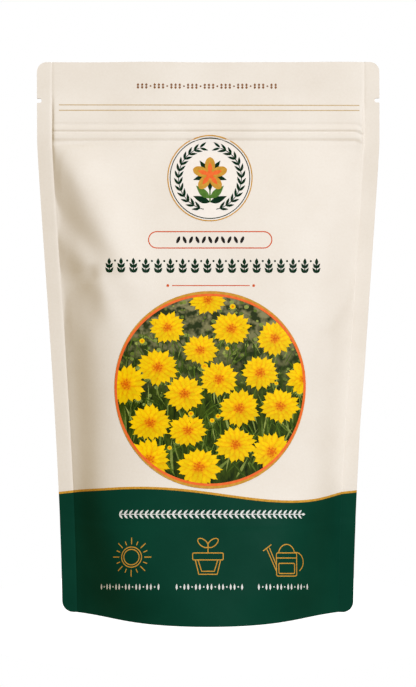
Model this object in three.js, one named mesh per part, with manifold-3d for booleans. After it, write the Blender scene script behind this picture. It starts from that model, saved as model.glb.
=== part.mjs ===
// A stand-up, resealable seed pouch, filled and standing: two laminate panels welded along their sides
// and top, a folded base gusset that opens into a boat-shaped foot, a press-to-close zipper inside the
// mouth, and the loose seed that holds the base open.
//
// Millimetres, +Z up. The pouch stands on z = 0, its front faces -Y, and the origin is the middle of the
// base. A place on the film is given by u, its distance from the middle of the flat panel, and its height.
import * as THREE from "three";
import { mergeVertices } from "three/addons/utils/BufferGeometryUtils.js";
import Module from "manifold-3d";

// Driving dimensions of the pouch.
const FLAT_WIDTH = 160; // across the flat film, edge to edge
const HEIGHT = 257; // standing height, bottom edge to top edge
const SIDE_SEAL = 7; // width of each side weld
const FILM = 0.4; // thickness of one film
const CLEARANCE = 0.06; // between two welded faces
const TOP_SEAL = 12; // height of the weld across the top
const TOP_CORNER = 4.5; // radius of the upper corners
const BOTTOM_CORNER = 5; // radius of the lower corners

// How full the pouch is: each panel bows forwards in plan, by nothing at the zipper and fully at the base.
const BASE_ARC = 1.01; // half angle of the panel's arc at the base, in radians
const BOW_RISE = 2.1; // how late the arc flattens on its way up
const DRAW_RISE = 1.5; // the same for the side welds, which the bow draws in...
const DRAW_CLOSE = 0.6; // ...and which straighten fast under the zipper
const SEAL_EASE = 0.4; // share of the bow missing beside a side weld, where the weld holds the film flat
const SEAL_EASE_REACH = 18;

// Base gusset.
const FOLD_HEIGHT = 40; // the fold of the flat gusset above its bottom edge
const FOOT_SEAL = 5; // height of the U-shaped foot weld at the middle
const FOOT_SEAL_RISE = 3.2; // power of the weld's U
const FOLD_SLACK = 0.9; // share of its taut height that the fold reaches
const LEAF_SAG = 2; // how far each gusset leaf hangs under its straight line

// Zipper, from the top edge.
const ZIP_TOP = 28.4;
const ZIP_BOTTOM = 37;
const UPPER_TRACK = 30.6;
const LOWER_TRACK = 34;
const ZIP_LENGTH = 143;
const TAPE = 0.3; // thickness of each zipper tape
const TAPE_FACE = 1.1; // outer face of each tape, from the middle plane
const RIDGE = 0.45; // how far each track stands out through the film
const RIDGE_HALF = (LOWER_TRACK - UPPER_TRACK) / 2;

// Tear notches, from the top edge.
const NOTCH_DOWN = 18;
const NOTCH_REACH = 2.2;
const NOTCH_HALF = 1.05;

// Loose seed.
const SEED_LEVEL = 132; // level of the seed along the sides
const SEED_MOUND = 7; // how far it heaps up near the middle
const SEED_CLEARANCE = 0.4;
const SEED_FOOT = 2; // the seed stays this far above the foot weld
const SEED_END = 66; // the seed reaches this far to each side, along the film
const SEED_COUNT = 84;
const SEED_SIZE = [1.9, 1.25, 0.7]; // half length, width and thickness of one seed

const ARC_HALF = FLAT_WIDTH / 2 - SIDE_SEAL; // film between the middle and a side weld
const ZIP_FOOT = HEIGHT - ZIP_BOTTOM;

// --- form of the filled pouch -------------------------------------------------------------------

function smooth(low, high, x) {
  return THREE.MathUtils.smoothstep(x, low, high);
}

// Half angle of an arc that opens from nothing at the zipper to the full angle at the base.
function openAngle(z, rise, close) {
  const share = THREE.MathUtils.clamp(z / ZIP_FOOT, 0, 1);
  return Math.max(BASE_ARC * (1 - share ** rise) ** close, 1e-3);
}

// How far a corner's rounding pulls the side edge in at a height.
function cornerInset(z) {
  const rise = Math.max(BOTTOM_CORNER - z, 0);
  const fall = Math.max(z - (HEIGHT - TOP_CORNER), 0);
  const bottom = BOTTOM_CORNER - Math.sqrt(BOTTOM_CORNER ** 2 - rise ** 2);
  const top = TOP_CORNER - Math.sqrt(TOP_CORNER ** 2 - fall ** 2);
  return bottom + top;
}

// Distance of a side weld's inner edge from the pouch's middle.
function weldDistance(z) {
  const angle = openAngle(z, DRAW_RISE, DRAW_CLOSE);
  return (ARC_HALF * Math.sin(angle)) / angle;
}

// Place across the pouch of the film at u.
function across(u, z) {
  const angle = openAngle(z, BOW_RISE, 1);
  const inFilm = Math.min(Math.abs(u), ARC_HALF);
  const share = Math.sin((angle * inFilm) / ARC_HALF) / Math.sin(angle);
  const inSeal = Math.min(Math.abs(u) - inFilm, SIDE_SEAL - cornerInset(z));
  return Math.sign(u) * (weldDistance(z) * share + inSeal);
}

// Depth of the filled panel in front of the side welds.
function bulge(u, z) {
  const fromSeal = ARC_HALF - Math.abs(u);
  if (fromSeal <= 0) return 0;
  const angle = openAngle(z, BOW_RISE, 1);
  const arc = (ARC_HALF * (Math.cos((angle * u) / ARC_HALF) - Math.cos(angle))) / angle;
  return arc * (1 - SEAL_EASE * Math.exp(-((fromSeal / SEAL_EASE_REACH) ** 2)));
}

// Thickness of a film measured along Y, which grows where the film slants.
function filmAlongY(u, z) {
  const step = 0.5;
  if (Math.abs(u) > ARC_HALF) return FILM;
  const sideways = (bulge(u + step, z) - bulge(u - step, z)) / (across(u + step, z) - across(u - step, z));
  const upwards = (bulge(u, z + step) - bulge(u, z - step)) / (2 * step);
  return FILM * Math.hypot(1, sideways, upwards);
}

// What the zipper adds between the films: its tapes hold them apart, and its tracks stand out as ridges.
function zipperLift(u, z) {
  const down = HEIGHT - z;
  const held = smooth(TOP_SEAL, ZIP_TOP, down) * (1 - smooth(ZIP_BOTTOM, ZIP_BOTTOM + 16, down));
  const track = Math.min(Math.abs(down - UPPER_TRACK), Math.abs(down - LOWER_TRACK));
  const ridge = Math.max(0, 1 - track / RIDGE_HALF);
  const inside = smooth(0, 1.2, ARC_HALF - Math.abs(u));
  return inside * (held * TAPE_FACE + ridge * RIDGE);
}

// Inner face of a panel, from the middle plane.
function panelInner(u, z) {
  const overGusset = 1 - smooth(FOLD_HEIGHT + 1, FOLD_HEIGHT + 4, z);
  const layers = CLEARANCE + overGusset * (filmAlongY(u, z) + CLEARANCE);
  return bulge(u, z) + zipperLift(u, z) + layers;
}

// Top of the U-shaped foot weld.
function footSeal(u) {
  const share = Math.min(Math.abs(u) / ARC_HALF, 1);
  return FOOT_SEAL + (FOLD_HEIGHT - FOOT_SEAL) * share ** FOOT_SEAL_RISE;
}

// Height of the gusset's middle fold, as its two leaves span the open base.
function foldHeight(u) {
  const seal = footSeal(u);
  const leaf = FOLD_HEIGHT - seal;
  const depth = bulge(u, seal);
  const taut = Math.sqrt(Math.max(leaf ** 2 - depth ** 2, 0));
  return seal + FOLD_SLACK * taut + FILM;
}

// --- solids --------------------------------------------------------------------------------------

// Columns across the film and rows up it, closer together where the form turns.
const COLUMNS = mirrored([0, 14, 27, 39, 49, 58, 66, 71.6, ARC_HALF, FLAT_WIDTH / 2]);
const ROWS = [
  ...cornerRows(0, BOTTOM_CORNER),
  16, 28, FOLD_HEIGHT + 1, FOLD_HEIGHT + 4, 60, 80, 100, 120, 139, 157, 174, 189, 202, 212,
  ZIP_FOOT,
  HEIGHT - LOWER_TRACK - RIDGE_HALF,
  HEIGHT - LOWER_TRACK,
  HEIGHT - LOWER_TRACK + RIDGE_HALF,
  HEIGHT - UPPER_TRACK,
  HEIGHT - UPPER_TRACK + RIDGE_HALF,
  HEIGHT - 20,
  HEIGHT - TOP_SEAL,
  ...cornerRows(HEIGHT, -TOP_CORNER),
];

function mirrored(half) {
  return [...half.toReversed().map((u) => -u), ...half.slice(1)];
}

// Heights that follow a rounded corner in even steps of angle, from an edge into the panel.
function cornerRows(edge, radius) {
  const steps = [0, 1, 2, 3].map((i) => edge + radius * (1 - Math.cos((i * Math.PI) / 6)));
  return radius > 0 ? steps : steps.toReversed();
}

// A closed solid between two grids of points, such as the two faces of a film. The outer grid is seen
// with its rows going up and its columns going right.
function slab(outer, inner) {
  const rows = outer.length;
  const columns = outer[0].length;
  const size = rows * columns;
  const positions = [...outer.flat(), ...inner.flat()].flatMap((p) => [p.x, p.y, p.z]);
  const index = [];
  const quad = (a, b, c, d) => index.push(a, b, c, a, c, d);
  const at = (row, column) => row * columns + column;
  for (let r = 0; r < rows - 1; r++) {
    for (let c = 0; c < columns - 1; c++) {
      const corners = [at(r, c), at(r, c + 1), at(r + 1, c + 1), at(r + 1, c)];
      quad(...corners);
      const [p, q, s, t] = corners.map((i) => i + size);
      index.push(p, s, q, p, t, s);
    }
  }
  const rim = [];
  for (let c = 0; c < columns - 1; c++) rim.push(at(0, c));
  for (let r = 0; r < rows - 1; r++) rim.push(at(r, columns - 1));
  for (let c = columns - 1; c > 0; c--) rim.push(at(rows - 1, c));
  for (let r = rows - 1; r > 0; r--) rim.push(at(r, 0));
  rim.forEach((a, i) => {
    const b = rim[(i + 1) % rim.length];
    quad(b, a, a + size, b + size);
  });
  return indexed(positions, index);
}

function indexed(positions, index) {
  const geometry = new THREE.BufferGeometry();
  geometry.setAttribute("position", new THREE.Float32BufferAttribute(positions, 3));
  geometry.setIndex(index);
  return geometry;
}

const wasm = await Module();
wasm.setup();

function toManifold(geometry) {
  const bare = geometry.clone();
  bare.deleteAttribute("normal");
  bare.deleteAttribute("uv");
  const merged = mergeVertices(bare, 1e-4);
  return new wasm.Manifold(
    new wasm.Mesh({
      numProp: 3,
      vertProperties: merged.attributes.position.array,
      triVerts: new Uint32Array(merged.index.array),
    }),
  );
}

function toGeometry(solid) {
  const mesh = solid.getMesh();
  return indexed(Array.from(mesh.vertProperties), Array.from(mesh.triVerts));
}

// A tear notch: a short slot with a round end, cut in from one side edge.
function notchCutter(side) {
  const outside = 3;
  const outline = new THREE.Shape();
  outline.moveTo(outside, -NOTCH_HALF);
  outline.lineTo(outside, NOTCH_HALF);
  outline.lineTo(NOTCH_HALF - NOTCH_REACH, NOTCH_HALF);
  outline.absarc(NOTCH_HALF - NOTCH_REACH, 0, NOTCH_HALF, Math.PI / 2, (3 * Math.PI) / 2, false);
  outline.closePath();
  const cutter = new THREE.ExtrudeGeometry(outline, { depth: 6, bevelEnabled: false, curveSegments: 6 });
  cutter.translate(0, 0, -3);
  cutter.rotateX(Math.PI / 2);
  if (side < 0) cutter.rotateZ(Math.PI);
  cutter.translate((side * FLAT_WIDTH) / 2, 0, HEIGHT - NOTCH_DOWN);
  return cutter;
}

// One printed panel, as the front one stands.
function panelGeometry() {
  const face = (extra) =>
    ROWS.map((z) =>
      COLUMNS.map((u) => new THREE.Vector3(across(u, z), -panelInner(u, z) - extra * filmAlongY(u, z), z)),
    );
  let panel = toManifold(slab(face(1), face(0)));
  for (const side of [-1, 1]) panel = panel.subtract(toManifold(notchCutter(side)));
  return toGeometry(panel);
}

// The gusset's path at u, from the front bottom edge over the middle fold to the back bottom edge, as
// points in the Y-Z plane with the film's thickness there.
const SKIRT_STEPS = [0, 0.35, 0.7, 1];
const LEAF_STEPS = [0.3, 0.65];

function gussetPath(u) {
  const seal = footSeal(u);
  const fold = Math.max(foldHeight(u), seal + FILM);
  const half = SKIRT_STEPS.map((s) => {
    const z = s * seal;
    const film = filmAlongY(u, z);
    return { y: -(bulge(u, z) + CLEARANCE + film / 2), z, film };
  });
  const start = half.at(-1);
  const sag = LEAF_SAG * (1 - Math.min(Math.abs(u) / ARC_HALF, 1));
  for (const s of LEAF_STEPS) {
    const y = start.y * (1 - s);
    const z = start.z + (fold - start.z) * s - sag * 4 * s * (1 - s);
    half.push({ y, z, film: FILM });
  }
  const back = half.map((p) => ({ ...p, y: -p.y })).toReversed();
  return [...half, { y: 0, z: fold, film: FILM }, ...back];
}

// Offsets a path by half a film to one side (+1 is out towards the panels and up into the pouch).
function offsetPath(path, side) {
  return path.map((p, i) => {
    const before = path[Math.max(i - 1, 0)];
    const after = path[Math.min(i + 1, path.length - 1)];
    const inward = direction(before, i === 0 ? after : p);
    const outward = direction(i === path.length - 1 ? before : p, after);
    const normal = new THREE.Vector2(-inward.y - outward.y, inward.x + outward.x).normalize();
    const stretch = 1 / Math.max(Math.cos(inward.angleTo(outward) / 2), 0.6);
    const reach = (side * p.film * stretch) / 2;
    const level = i === 0 || i === path.length - 1 ? p.z : p.z + normal.y * reach;
    return { y: p.y + normal.x * reach, z: level };
  });
}

function direction(from, to) {
  return new THREE.Vector2(to.y - from.y, to.z - from.z).normalize();
}

function gussetGeometry() {
  const grid = (side) => {
    const byColumn = COLUMNS.map((u) => {
      const path = gussetPath(u);
      return offsetPath(path, side).map((p, i) => new THREE.Vector3(across(u, path[i].z), p.y, p.z));
    });
    return byColumn[0].map((_, i) => byColumn.map((column) => column[i]));
  };
  return slab(grid(1), grid(-1));
}

// Cross-section of the strip with the ribs, in the Y-Z plane, from its tape towards the middle.
function ribSection() {
  const face = TAPE_FACE - TAPE;
  const outline = [
    [TAPE_FACE, HEIGHT - ZIP_TOP],
    [TAPE_FACE, HEIGHT - ZIP_BOTTOM],
    [face, HEIGHT - ZIP_BOTTOM],
  ];
  for (const track of [LOWER_TRACK, UPPER_TRACK]) {
    const z = HEIGHT - track;
    const rib = [[face, 0.2], [-0.05, 0.2], [-0.05, 0.5], [-0.5, 0.2]];
    outline.push(...rib.map(([y, half]) => [y, z - half]));
    outline.push(...rib.toReversed().map(([y, half]) => [y, z + half]));
  }
  outline.push([face, HEIGHT - ZIP_TOP]);
  return outline;
}

// Cross-section of the strip with the grooves: two hooked walls grip each rib behind its barb.
function grooveSection() {
  const face = -(TAPE_FACE - TAPE);
  const outline = [
    [-TAPE_FACE, HEIGHT - ZIP_TOP],
    [-TAPE_FACE, HEIGHT - ZIP_BOTTOM],
    [face, HEIGHT - ZIP_BOTTOM],
  ];
  for (const track of [LOWER_TRACK, UPPER_TRACK]) {
    const z = HEIGHT - track;
    const wall = [[face, 1.05], [0.4, 1.05], [0.4, 0.38], [0.12, 0.38], [0.12, 0.65], [face, 0.65]];
    outline.push(...wall.map(([y, half]) => [y, z - half]));
    outline.push(...wall.toReversed().map(([y, half]) => [y, z + half]));
  }
  outline.push([face, HEIGHT - ZIP_TOP]);
  return outline;
}

function stripGeometry(section) {
  const outline = new THREE.Shape(section.map(([y, z]) => new THREE.Vector2(y, z)));
  const strip = new THREE.ExtrudeGeometry(outline, { depth: ZIP_LENGTH, bevelEnabled: false });
  const turn = new THREE.Matrix4().makeBasis(
    new THREE.Vector3(0, 1, 0),
    new THREE.Vector3(0, 0, 1),
    new THREE.Vector3(1, 0, 0),
  );
  return strip.applyMatrix4(turn).translate(-ZIP_LENGTH / 2, 0, 0);
}

// Top of the seed, heaped a little left of the middle where it was poured.
function seedTop(u, depthShare) {
  const mound = Math.exp(-(((u + 12) / 34) ** 2)) * (1 - 0.6 * depthShare ** 2);
  return SEED_LEVEL + SEED_MOUND * mound;
}

// The settled seed: over the gusset, between the panels and heaped on top, as one loop for each column.
function seedBodyGeometry() {
  const columns = COLUMNS.filter((u) => Math.abs(u) <= SEED_END);
  const wallSteps = [0.12, 0.3, 0.5, 0.7, 0.88];
  const topSteps = [-1, -0.6, -0.2, 0.2, 0.6, 1];
  const loops = columns.map((u) => {
    const path = gussetPath(u);
    const roof = offsetPath(path, 1).slice(SKIRT_STEPS.length - 1, path.length - SKIRT_STEPS.length + 1);
    const wallY = (z) => bulge(u, z) - SEED_CLEARANCE;
    const foot = footSeal(u) + SEED_FOOT;
    const rim = seedTop(u, 1);
    const floor = roof.map((p, i) => {
      const atRim = i === 0 || i === roof.length - 1;
      return [atRim ? Math.sign(p.y) * wallY(foot) : p.y, atRim ? foot : p.z + SEED_CLEARANCE];
    });
    const wall = wallSteps.map((s) => foot + (rim - foot) * s);
    const loop = [
      ...floor,
      ...wall.map((z) => [wallY(z), z]),
      ...topSteps.toReversed().map((s) => [s * wallY(rim), seedTop(u, s)]),
      ...wall.toReversed().map((z) => [-wallY(z), z]),
    ];
    return loop.map(([y, z]) => new THREE.Vector3(across(u, z), y, z));
  });
  const around = loops[0].length;
  const positions = loops.flat().flatMap((p) => [p.x, p.y, p.z]);
  const index = [];
  for (let c = 0; c < loops.length - 1; c++) {
    for (let i = 0; i < around; i++) {
      const [a, b] = [c * around + i, c * around + ((i + 1) % around)];
      index.push(a, b + around, a + around, a, b, b + around);
    }
  }
  for (const [c, flip] of [[0, true], [loops.length - 1, false]]) {
    const middle = loops[c].reduce((sum, p) => sum.add(p), new THREE.Vector3()).divideScalar(around);
    const hub = positions.length / 3;
    positions.push(middle.x, middle.y, middle.z);
    for (let i = 0; i < around; i++) {
      const [a, b] = [c * around + i, c * around + ((i + 1) % around)];
      index.push(hub, ...(flip ? [b, a] : [a, b]));
    }
  }
  return indexed(positions, index);
}

// A repeatable stream of numbers from 0 to 1.
function randomStream(seed) {
  let state = seed;
  return () => {
    state = (Math.imul(state, 1664525) + 1013904223) >>> 0;
    return state / 2 ** 32;
  };
}

// Single seeds lie half sunk in the top of the fill.
function seedFillGeometry() {
  const random = randomStream(20);
  let fill = toManifold(seedBodyGeometry());
  const seeds = [];
  for (let i = 0; i < SEED_COUNT; i++) {
    const u = (random() * 2 - 1) * (SEED_END - 8);
    const share = (random() * 2 - 1) * 0.82;
    const z = seedTop(u, share);
    const y = share * (bulge(u, z) - 2.5);
    const seed = new THREE.IcosahedronGeometry(1, 0).scale(...SEED_SIZE);
    seed.rotateX((random() - 0.5) * 0.9).rotateY((random() - 0.5) * 0.9).rotateZ(random() * Math.PI);
    seeds.push(toManifold(seed.translate(across(u, z), y, z + 0.1)));
  }
  fill = wasm.Manifold.union([fill, ...seeds]);
  return toGeometry(fill);
}

// --- the pouch -----------------------------------------------------------------------------------

function material(color, roughness) {
  return new THREE.MeshStandardMaterial({ color, roughness, metalness: 0 });
}

function piece(name, geometry, finish) {
  geometry.computeVertexNormals();
  const mesh = new THREE.Mesh(geometry, finish);
  mesh.name = name;
  return mesh;
}

const printedFilm = material("#efe6d8", 0.5);
const gussetFilm = material("#0f3a2b", 0.5);
const zipperPlastic = material("#e9e7df", 0.35);
const drySeed = material("#4a3422", 0.8);

const frontPanel = piece("front_panel", panelGeometry(), printedFilm);
const backPanel = piece("back_panel", panelGeometry(), printedFilm);
backPanel.rotation.z = Math.PI;

const pouch = new THREE.Group();
pouch.add(
  frontPanel,
  backPanel,
  piece("bottom_gusset", gussetGeometry(), gussetFilm),
  piece("zipper_groove_strip", stripGeometry(grooveSection()), zipperPlastic),
  piece("zipper_rib_strip", stripGeometry(ribSection()), zipperPlastic),
  piece("seed_fill", seedFillGeometry(), drySeed),
);

export default pouch;
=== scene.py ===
"""Dresses a filled stand-up seed pouch: printed films, base gusset, zipper, seed and studio.

Sizes are in millimetres until a mesh is finished, which brings it to metres. A place on a film is given by
u, its distance from the middle of the flat panel, and by its height above the surface the pouch stands on.
"""

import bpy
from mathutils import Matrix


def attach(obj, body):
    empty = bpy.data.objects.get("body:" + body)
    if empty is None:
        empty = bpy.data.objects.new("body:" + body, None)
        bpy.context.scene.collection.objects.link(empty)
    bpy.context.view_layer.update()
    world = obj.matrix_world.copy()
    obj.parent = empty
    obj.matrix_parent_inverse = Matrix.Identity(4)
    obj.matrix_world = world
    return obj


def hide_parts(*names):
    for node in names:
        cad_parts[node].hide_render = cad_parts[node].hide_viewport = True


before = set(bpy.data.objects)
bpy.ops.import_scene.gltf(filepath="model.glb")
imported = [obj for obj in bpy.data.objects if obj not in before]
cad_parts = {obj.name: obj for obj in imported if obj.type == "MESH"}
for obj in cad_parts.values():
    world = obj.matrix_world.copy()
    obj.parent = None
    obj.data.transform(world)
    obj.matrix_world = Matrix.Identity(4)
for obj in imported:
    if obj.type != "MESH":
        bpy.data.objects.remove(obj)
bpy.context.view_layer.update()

import logging
import math
import random
from collections.abc import Iterable, Sequence
from dataclasses import dataclass, field
from enum import Enum

import bmesh
import bpy
from mathutils import Matrix, Vector

LOG = logging.getLogger("seed_pouch")
MM = 0.001
TURN = 2 * math.pi
UPWARD = math.pi / 2
GOLDEN_ANGLE = 2.399963
INK_SHEEN = 0.04
ROOT = "root"

Place = tuple[float, float]
Triple = tuple[float, float, float]
Colour = tuple[float, float, float, float]
Material = bpy.types.Material
Socket = bpy.types.NodeSocket
Mesh = bmesh.types.BMesh


def srgb(red: int, green: int, blue: int) -> Colour:
    """Turns a screen colour into the linear one that shaders take.

    Args:
        red, green, blue: The screen colour, each from 0 to 255.

    Returns:
        The linear colour with full alpha.
    """

    def linear(value: int) -> float:
        """Undoes the screen's curve for one channel."""
        share = value / 255
        return share / 12.92 if share <= 0.04045 else ((share + 0.055) / 1.055) ** 2.4

    return (linear(red), linear(green), linear(blue), 1.0)


def clamp(value: float, low: float = 0.0, high: float = 1.0) -> float:
    """Keeps a value between two limits."""
    return min(max(value, low), high)


def ease(start: float, end: float, value: float) -> float:
    """Rises smoothly from 0 at start to 1 at end, which may also be the lower of the two."""
    share = clamp((value - start) / (end - start))
    return share * share * (3 - 2 * share)


def hill(distance: float, reach: float) -> float:
    """Gives a soft bump that is 1 at distance 0 and fades over reach."""
    return math.exp(-((distance / reach) ** 2))


def steps(low: float, high: float, spacing: float) -> list[float]:
    """Divides a stretch evenly.

    Args:
        low, high: The two ends of the stretch.
        spacing: The longest step allowed.

    Returns:
        The places from low to high, both ends included.
    """
    count = max(1, math.ceil((high - low) / spacing))
    return [low + (high - low) * i / count for i in range(count + 1)]


def thinned(places: Iterable[float], least: float = 0.04) -> list[float]:
    """Sorts places and drops those that lie too near the one before.

    Args:
        places: The places along one direction.
        least: The shortest step kept.

    Returns:
        The sorted places.
    """
    kept: list[float] = []
    for place in sorted(places):
        if not kept or place - kept[-1] > least:
            kept.append(place)
    return kept


class Side(Enum):
    """The two faces of the pouch; the value turns the front's X and depth into the back's."""

    FRONT = 1
    BACK = -1


@dataclass(frozen=True)
class Pleat:
    """A shallow valley in the film, or a ridge where its depth is below 0; each wall has its own width."""

    start: Place
    end: Place
    depth: float
    widths: Place
    fade: float = 5.0

    def at(self, u: float, height: float) -> float:
        """Gives how far the film is pushed in at one place."""
        run = (self.end[0] - self.start[0], self.end[1] - self.start[1])
        length = math.hypot(*run)
        away = (u - self.start[0], height - self.start[1])
        along = (away[0] * run[0] + away[1] * run[1]) / length
        off = (away[1] * run[0] - away[0] * run[1]) / length * math.copysign(1, run[0])
        beyond = along - clamp(along, 0, length)
        return self.depth * hill(off, self.widths[0 if off < 0 else 1]) * hill(beyond, self.fade)


@dataclass(frozen=True)
class PouchForm:
    """The form of the filled pouch, in millimetres."""

    flat_width: float = 160
    height: float = 257
    side_seal: float = 7
    film: float = 0.4
    clearance: float = 0.06
    top_seal: float = 12
    top_corner: float = 4.5
    bottom_corner: float = 5
    base_arc: float = 1.01
    bow_rise: float = 1.0
    bow_close: float = 0.7
    draw_rise: float = 1.5
    draw_close: float = 0.6
    base_pinch: Place = (0.6, 27.5)
    seal_ease: Place = (0.45, 11.5)
    pinch_fade: float = 57
    filled_from: float = 18
    waist: float = 0.21
    waist_height: float = 72
    waist_reach: float = 40
    shoulder: float = 95
    fold_height: float = 40
    foot_seal: float = 5
    foot_seal_rise: float = 3.2
    fold_slack: float = 0.9
    leaf_sag: float = 2
    slant_fade: float = 6
    groove_depths: Place = (0.07, 0.15)
    groove_half: float = 0.55
    zip_top: float = 28.4
    zip_bottom: float = 37
    tape_face: float = 1.4
    tape_fade: float = 16
    track_fade: float = 1.4
    zip_steps: tuple[Triple, ...] = (
        (28.8, 0.6, -0.3),
        (30.2, 1.0, 0.8),
        (32.3, 0.4, -0.75),
        (33.7, 0.8, 0.75),
        (36.5, 1.0, -0.95),
        (39.6, 2.2, -0.6),
    )
    tuck_ends: Place = (-46, -62)
    tuck_steps: tuple[Triple, ...] = ((37.4, 0.7, -0.6), (39.6, 1.2, 0.9))
    mouth_waves: tuple[Triple, ...] = ((0.5, 13.0, 0.6), (0.35, 7.3, 2.2))
    weld_turns: Place = (0.2, -0.17)
    turn_fade: float = 20
    right_draw: float = 0.52
    right_fade: Place = (85, 120)
    notch_down: float = 18
    notch_reach: float = 2.2
    notch_half: float = 1.05

    @property
    def arc_half(self) -> float:
        """Film between the middle of the panel and a side weld."""
        return self.flat_width / 2 - self.side_seal

    @property
    def zip_foot(self) -> float:
        """Height of the zipper's lower edge."""
        return self.height - self.zip_bottom

    @staticmethod
    def stepped(steps_down: Iterable[Triple], down: float) -> float:
        """Adds up steps, each given by its middle below the top edge, its half width and its rise."""
        return sum(rise * ease(middle - half, middle + half, down) for middle, half, rise in steps_down)

    def open_angle(self, height: float, rise: float, close: float) -> float:
        """Half angle of an arc that opens from nothing at the zipper to the full angle at the base."""
        share = clamp(height / self.zip_foot)
        return max(self.base_arc * (1 - share**rise) ** close, 1e-3)

    def bow_angle(self, height: float) -> float:
        """Half angle of the arc that the panel bows out to."""
        return self.open_angle(height, self.bow_rise, self.bow_close)

    def edge_inset(self, height: float) -> float:
        """How far the side edge is cut in at a height, by the rounded corners and the tear notch."""
        rise = max(self.bottom_corner - height, 0)
        fall = max(height - (self.height - self.top_corner), 0)
        inset = self.bottom_corner - math.sqrt(self.bottom_corner**2 - rise**2)
        inset += self.top_corner - math.sqrt(max(self.top_corner**2 - fall**2, 0))
        from_notch = abs(height - (self.height - self.notch_down))
        if from_notch < self.notch_half:
            inset += self.notch_reach - self.notch_half + math.sqrt(self.notch_half**2 - from_notch**2)
        return inset

    def weld_distance(self, height: float) -> float:
        """Distance of a side weld's inner edge from the pouch's middle."""
        angle = self.open_angle(height, self.draw_rise, self.draw_close)
        return self.arc_half * math.sin(angle) / angle

    def across(self, u: float, height: float) -> float:
        """Place across the pouch of the film at u."""
        angle = self.bow_angle(height)
        in_film = min(abs(u), self.arc_half)
        share = math.sin(angle * in_film / self.arc_half) / math.sin(angle)
        in_seal = (abs(u) - in_film) * (1 - self.edge_inset(height) / self.side_seal)
        return math.copysign(self.weld_distance(height) * share + in_seal, u)

    def film_place(self, x: float, height: float) -> float:
        """Distance along the film of a place across the pouch, the reverse of across."""
        angle = self.bow_angle(height)
        share = clamp(abs(x) / self.weld_distance(height))
        return math.copysign(math.asin(share * math.sin(angle)) / angle * self.arc_half, x)

    def bulge(self, u: float, height: float) -> float:
        """Depth of the smooth, filled panel in front of the side welds."""
        from_seal = self.arc_half - abs(u)
        if from_seal <= 0:
            return 0.0
        angle = self.bow_angle(height)
        share = abs(u) / self.arc_half
        round_arc = self.arc_half * (math.cos(angle * share) - math.cos(angle)) / angle
        crown = self.arc_half * (1 - math.cos(angle)) / angle
        boxed = crown * (1 - share ** (self.shoulder / crown))
        filled = ease(0, self.filled_from, height)
        rise = ease(0, self.pinch_fade, height)
        held, reach = (low + (high - low) * rise for low, high in zip(self.base_pinch, self.seal_ease))
        drawn_in = 1 - self.waist * hill(height - self.waist_height, self.waist_reach) * filled
        return (round_arc + (boxed - round_arc) * filled) * drawn_in * (1 - held * hill(from_seal, reach))

    def sway(self, x: float, height: float) -> float:
        """How far back the welded films stand: slow waves at the mouth, and side welds that turn a little."""
        free = ease(self.height - self.zip_top + 3, self.height, height)
        past = max(abs(x) - self.weld_distance(height), 0)
        left, right = self.weld_turns
        turn = left * ease(self.height, self.zip_foot - self.turn_fade, height) if x < 0 else right
        waves = sum(swing * math.sin(x / length + phase) for swing, length, phase in self.mouth_waves)
        return free * waves + turn * past**2 / (past + 1.0)

    def drawn(self, x: float, height: float) -> float:
        """Place across the pouch once the lower right side is drawn in a little more than the left."""
        share = max(x, 0) / self.arc_half
        return x - self.right_draw * share * (1 - ease(*self.right_fade, height))

    def film_depth(self, u: float, height: float) -> float:
        """Thickness of a film measured along Y, which grows where the film slants."""
        from_seal = max(self.arc_half - abs(u), 0)
        slant = self.bow_angle(height) * min(abs(u) / self.arc_half, 1)
        return self.film / math.cos(slant * (1 - hill(from_seal, self.slant_fade)))

    def foot_weld(self, u: float) -> float:
        """Top of the U-shaped foot weld."""
        share = min(abs(u) / self.arc_half, 1)
        return self.foot_seal + (self.fold_height - self.foot_seal) * share**self.foot_seal_rise

    def fold_top(self, u: float) -> float:
        """Height of the gusset's middle fold, as its two leaves span the open base."""
        weld = self.foot_weld(u)
        taut = math.sqrt(max((self.fold_height - weld) ** 2 - self.bulge(u, weld) ** 2, 0))
        return max(weld + self.fold_slack * taut + self.film, weld + self.film)


FORM = PouchForm()


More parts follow.
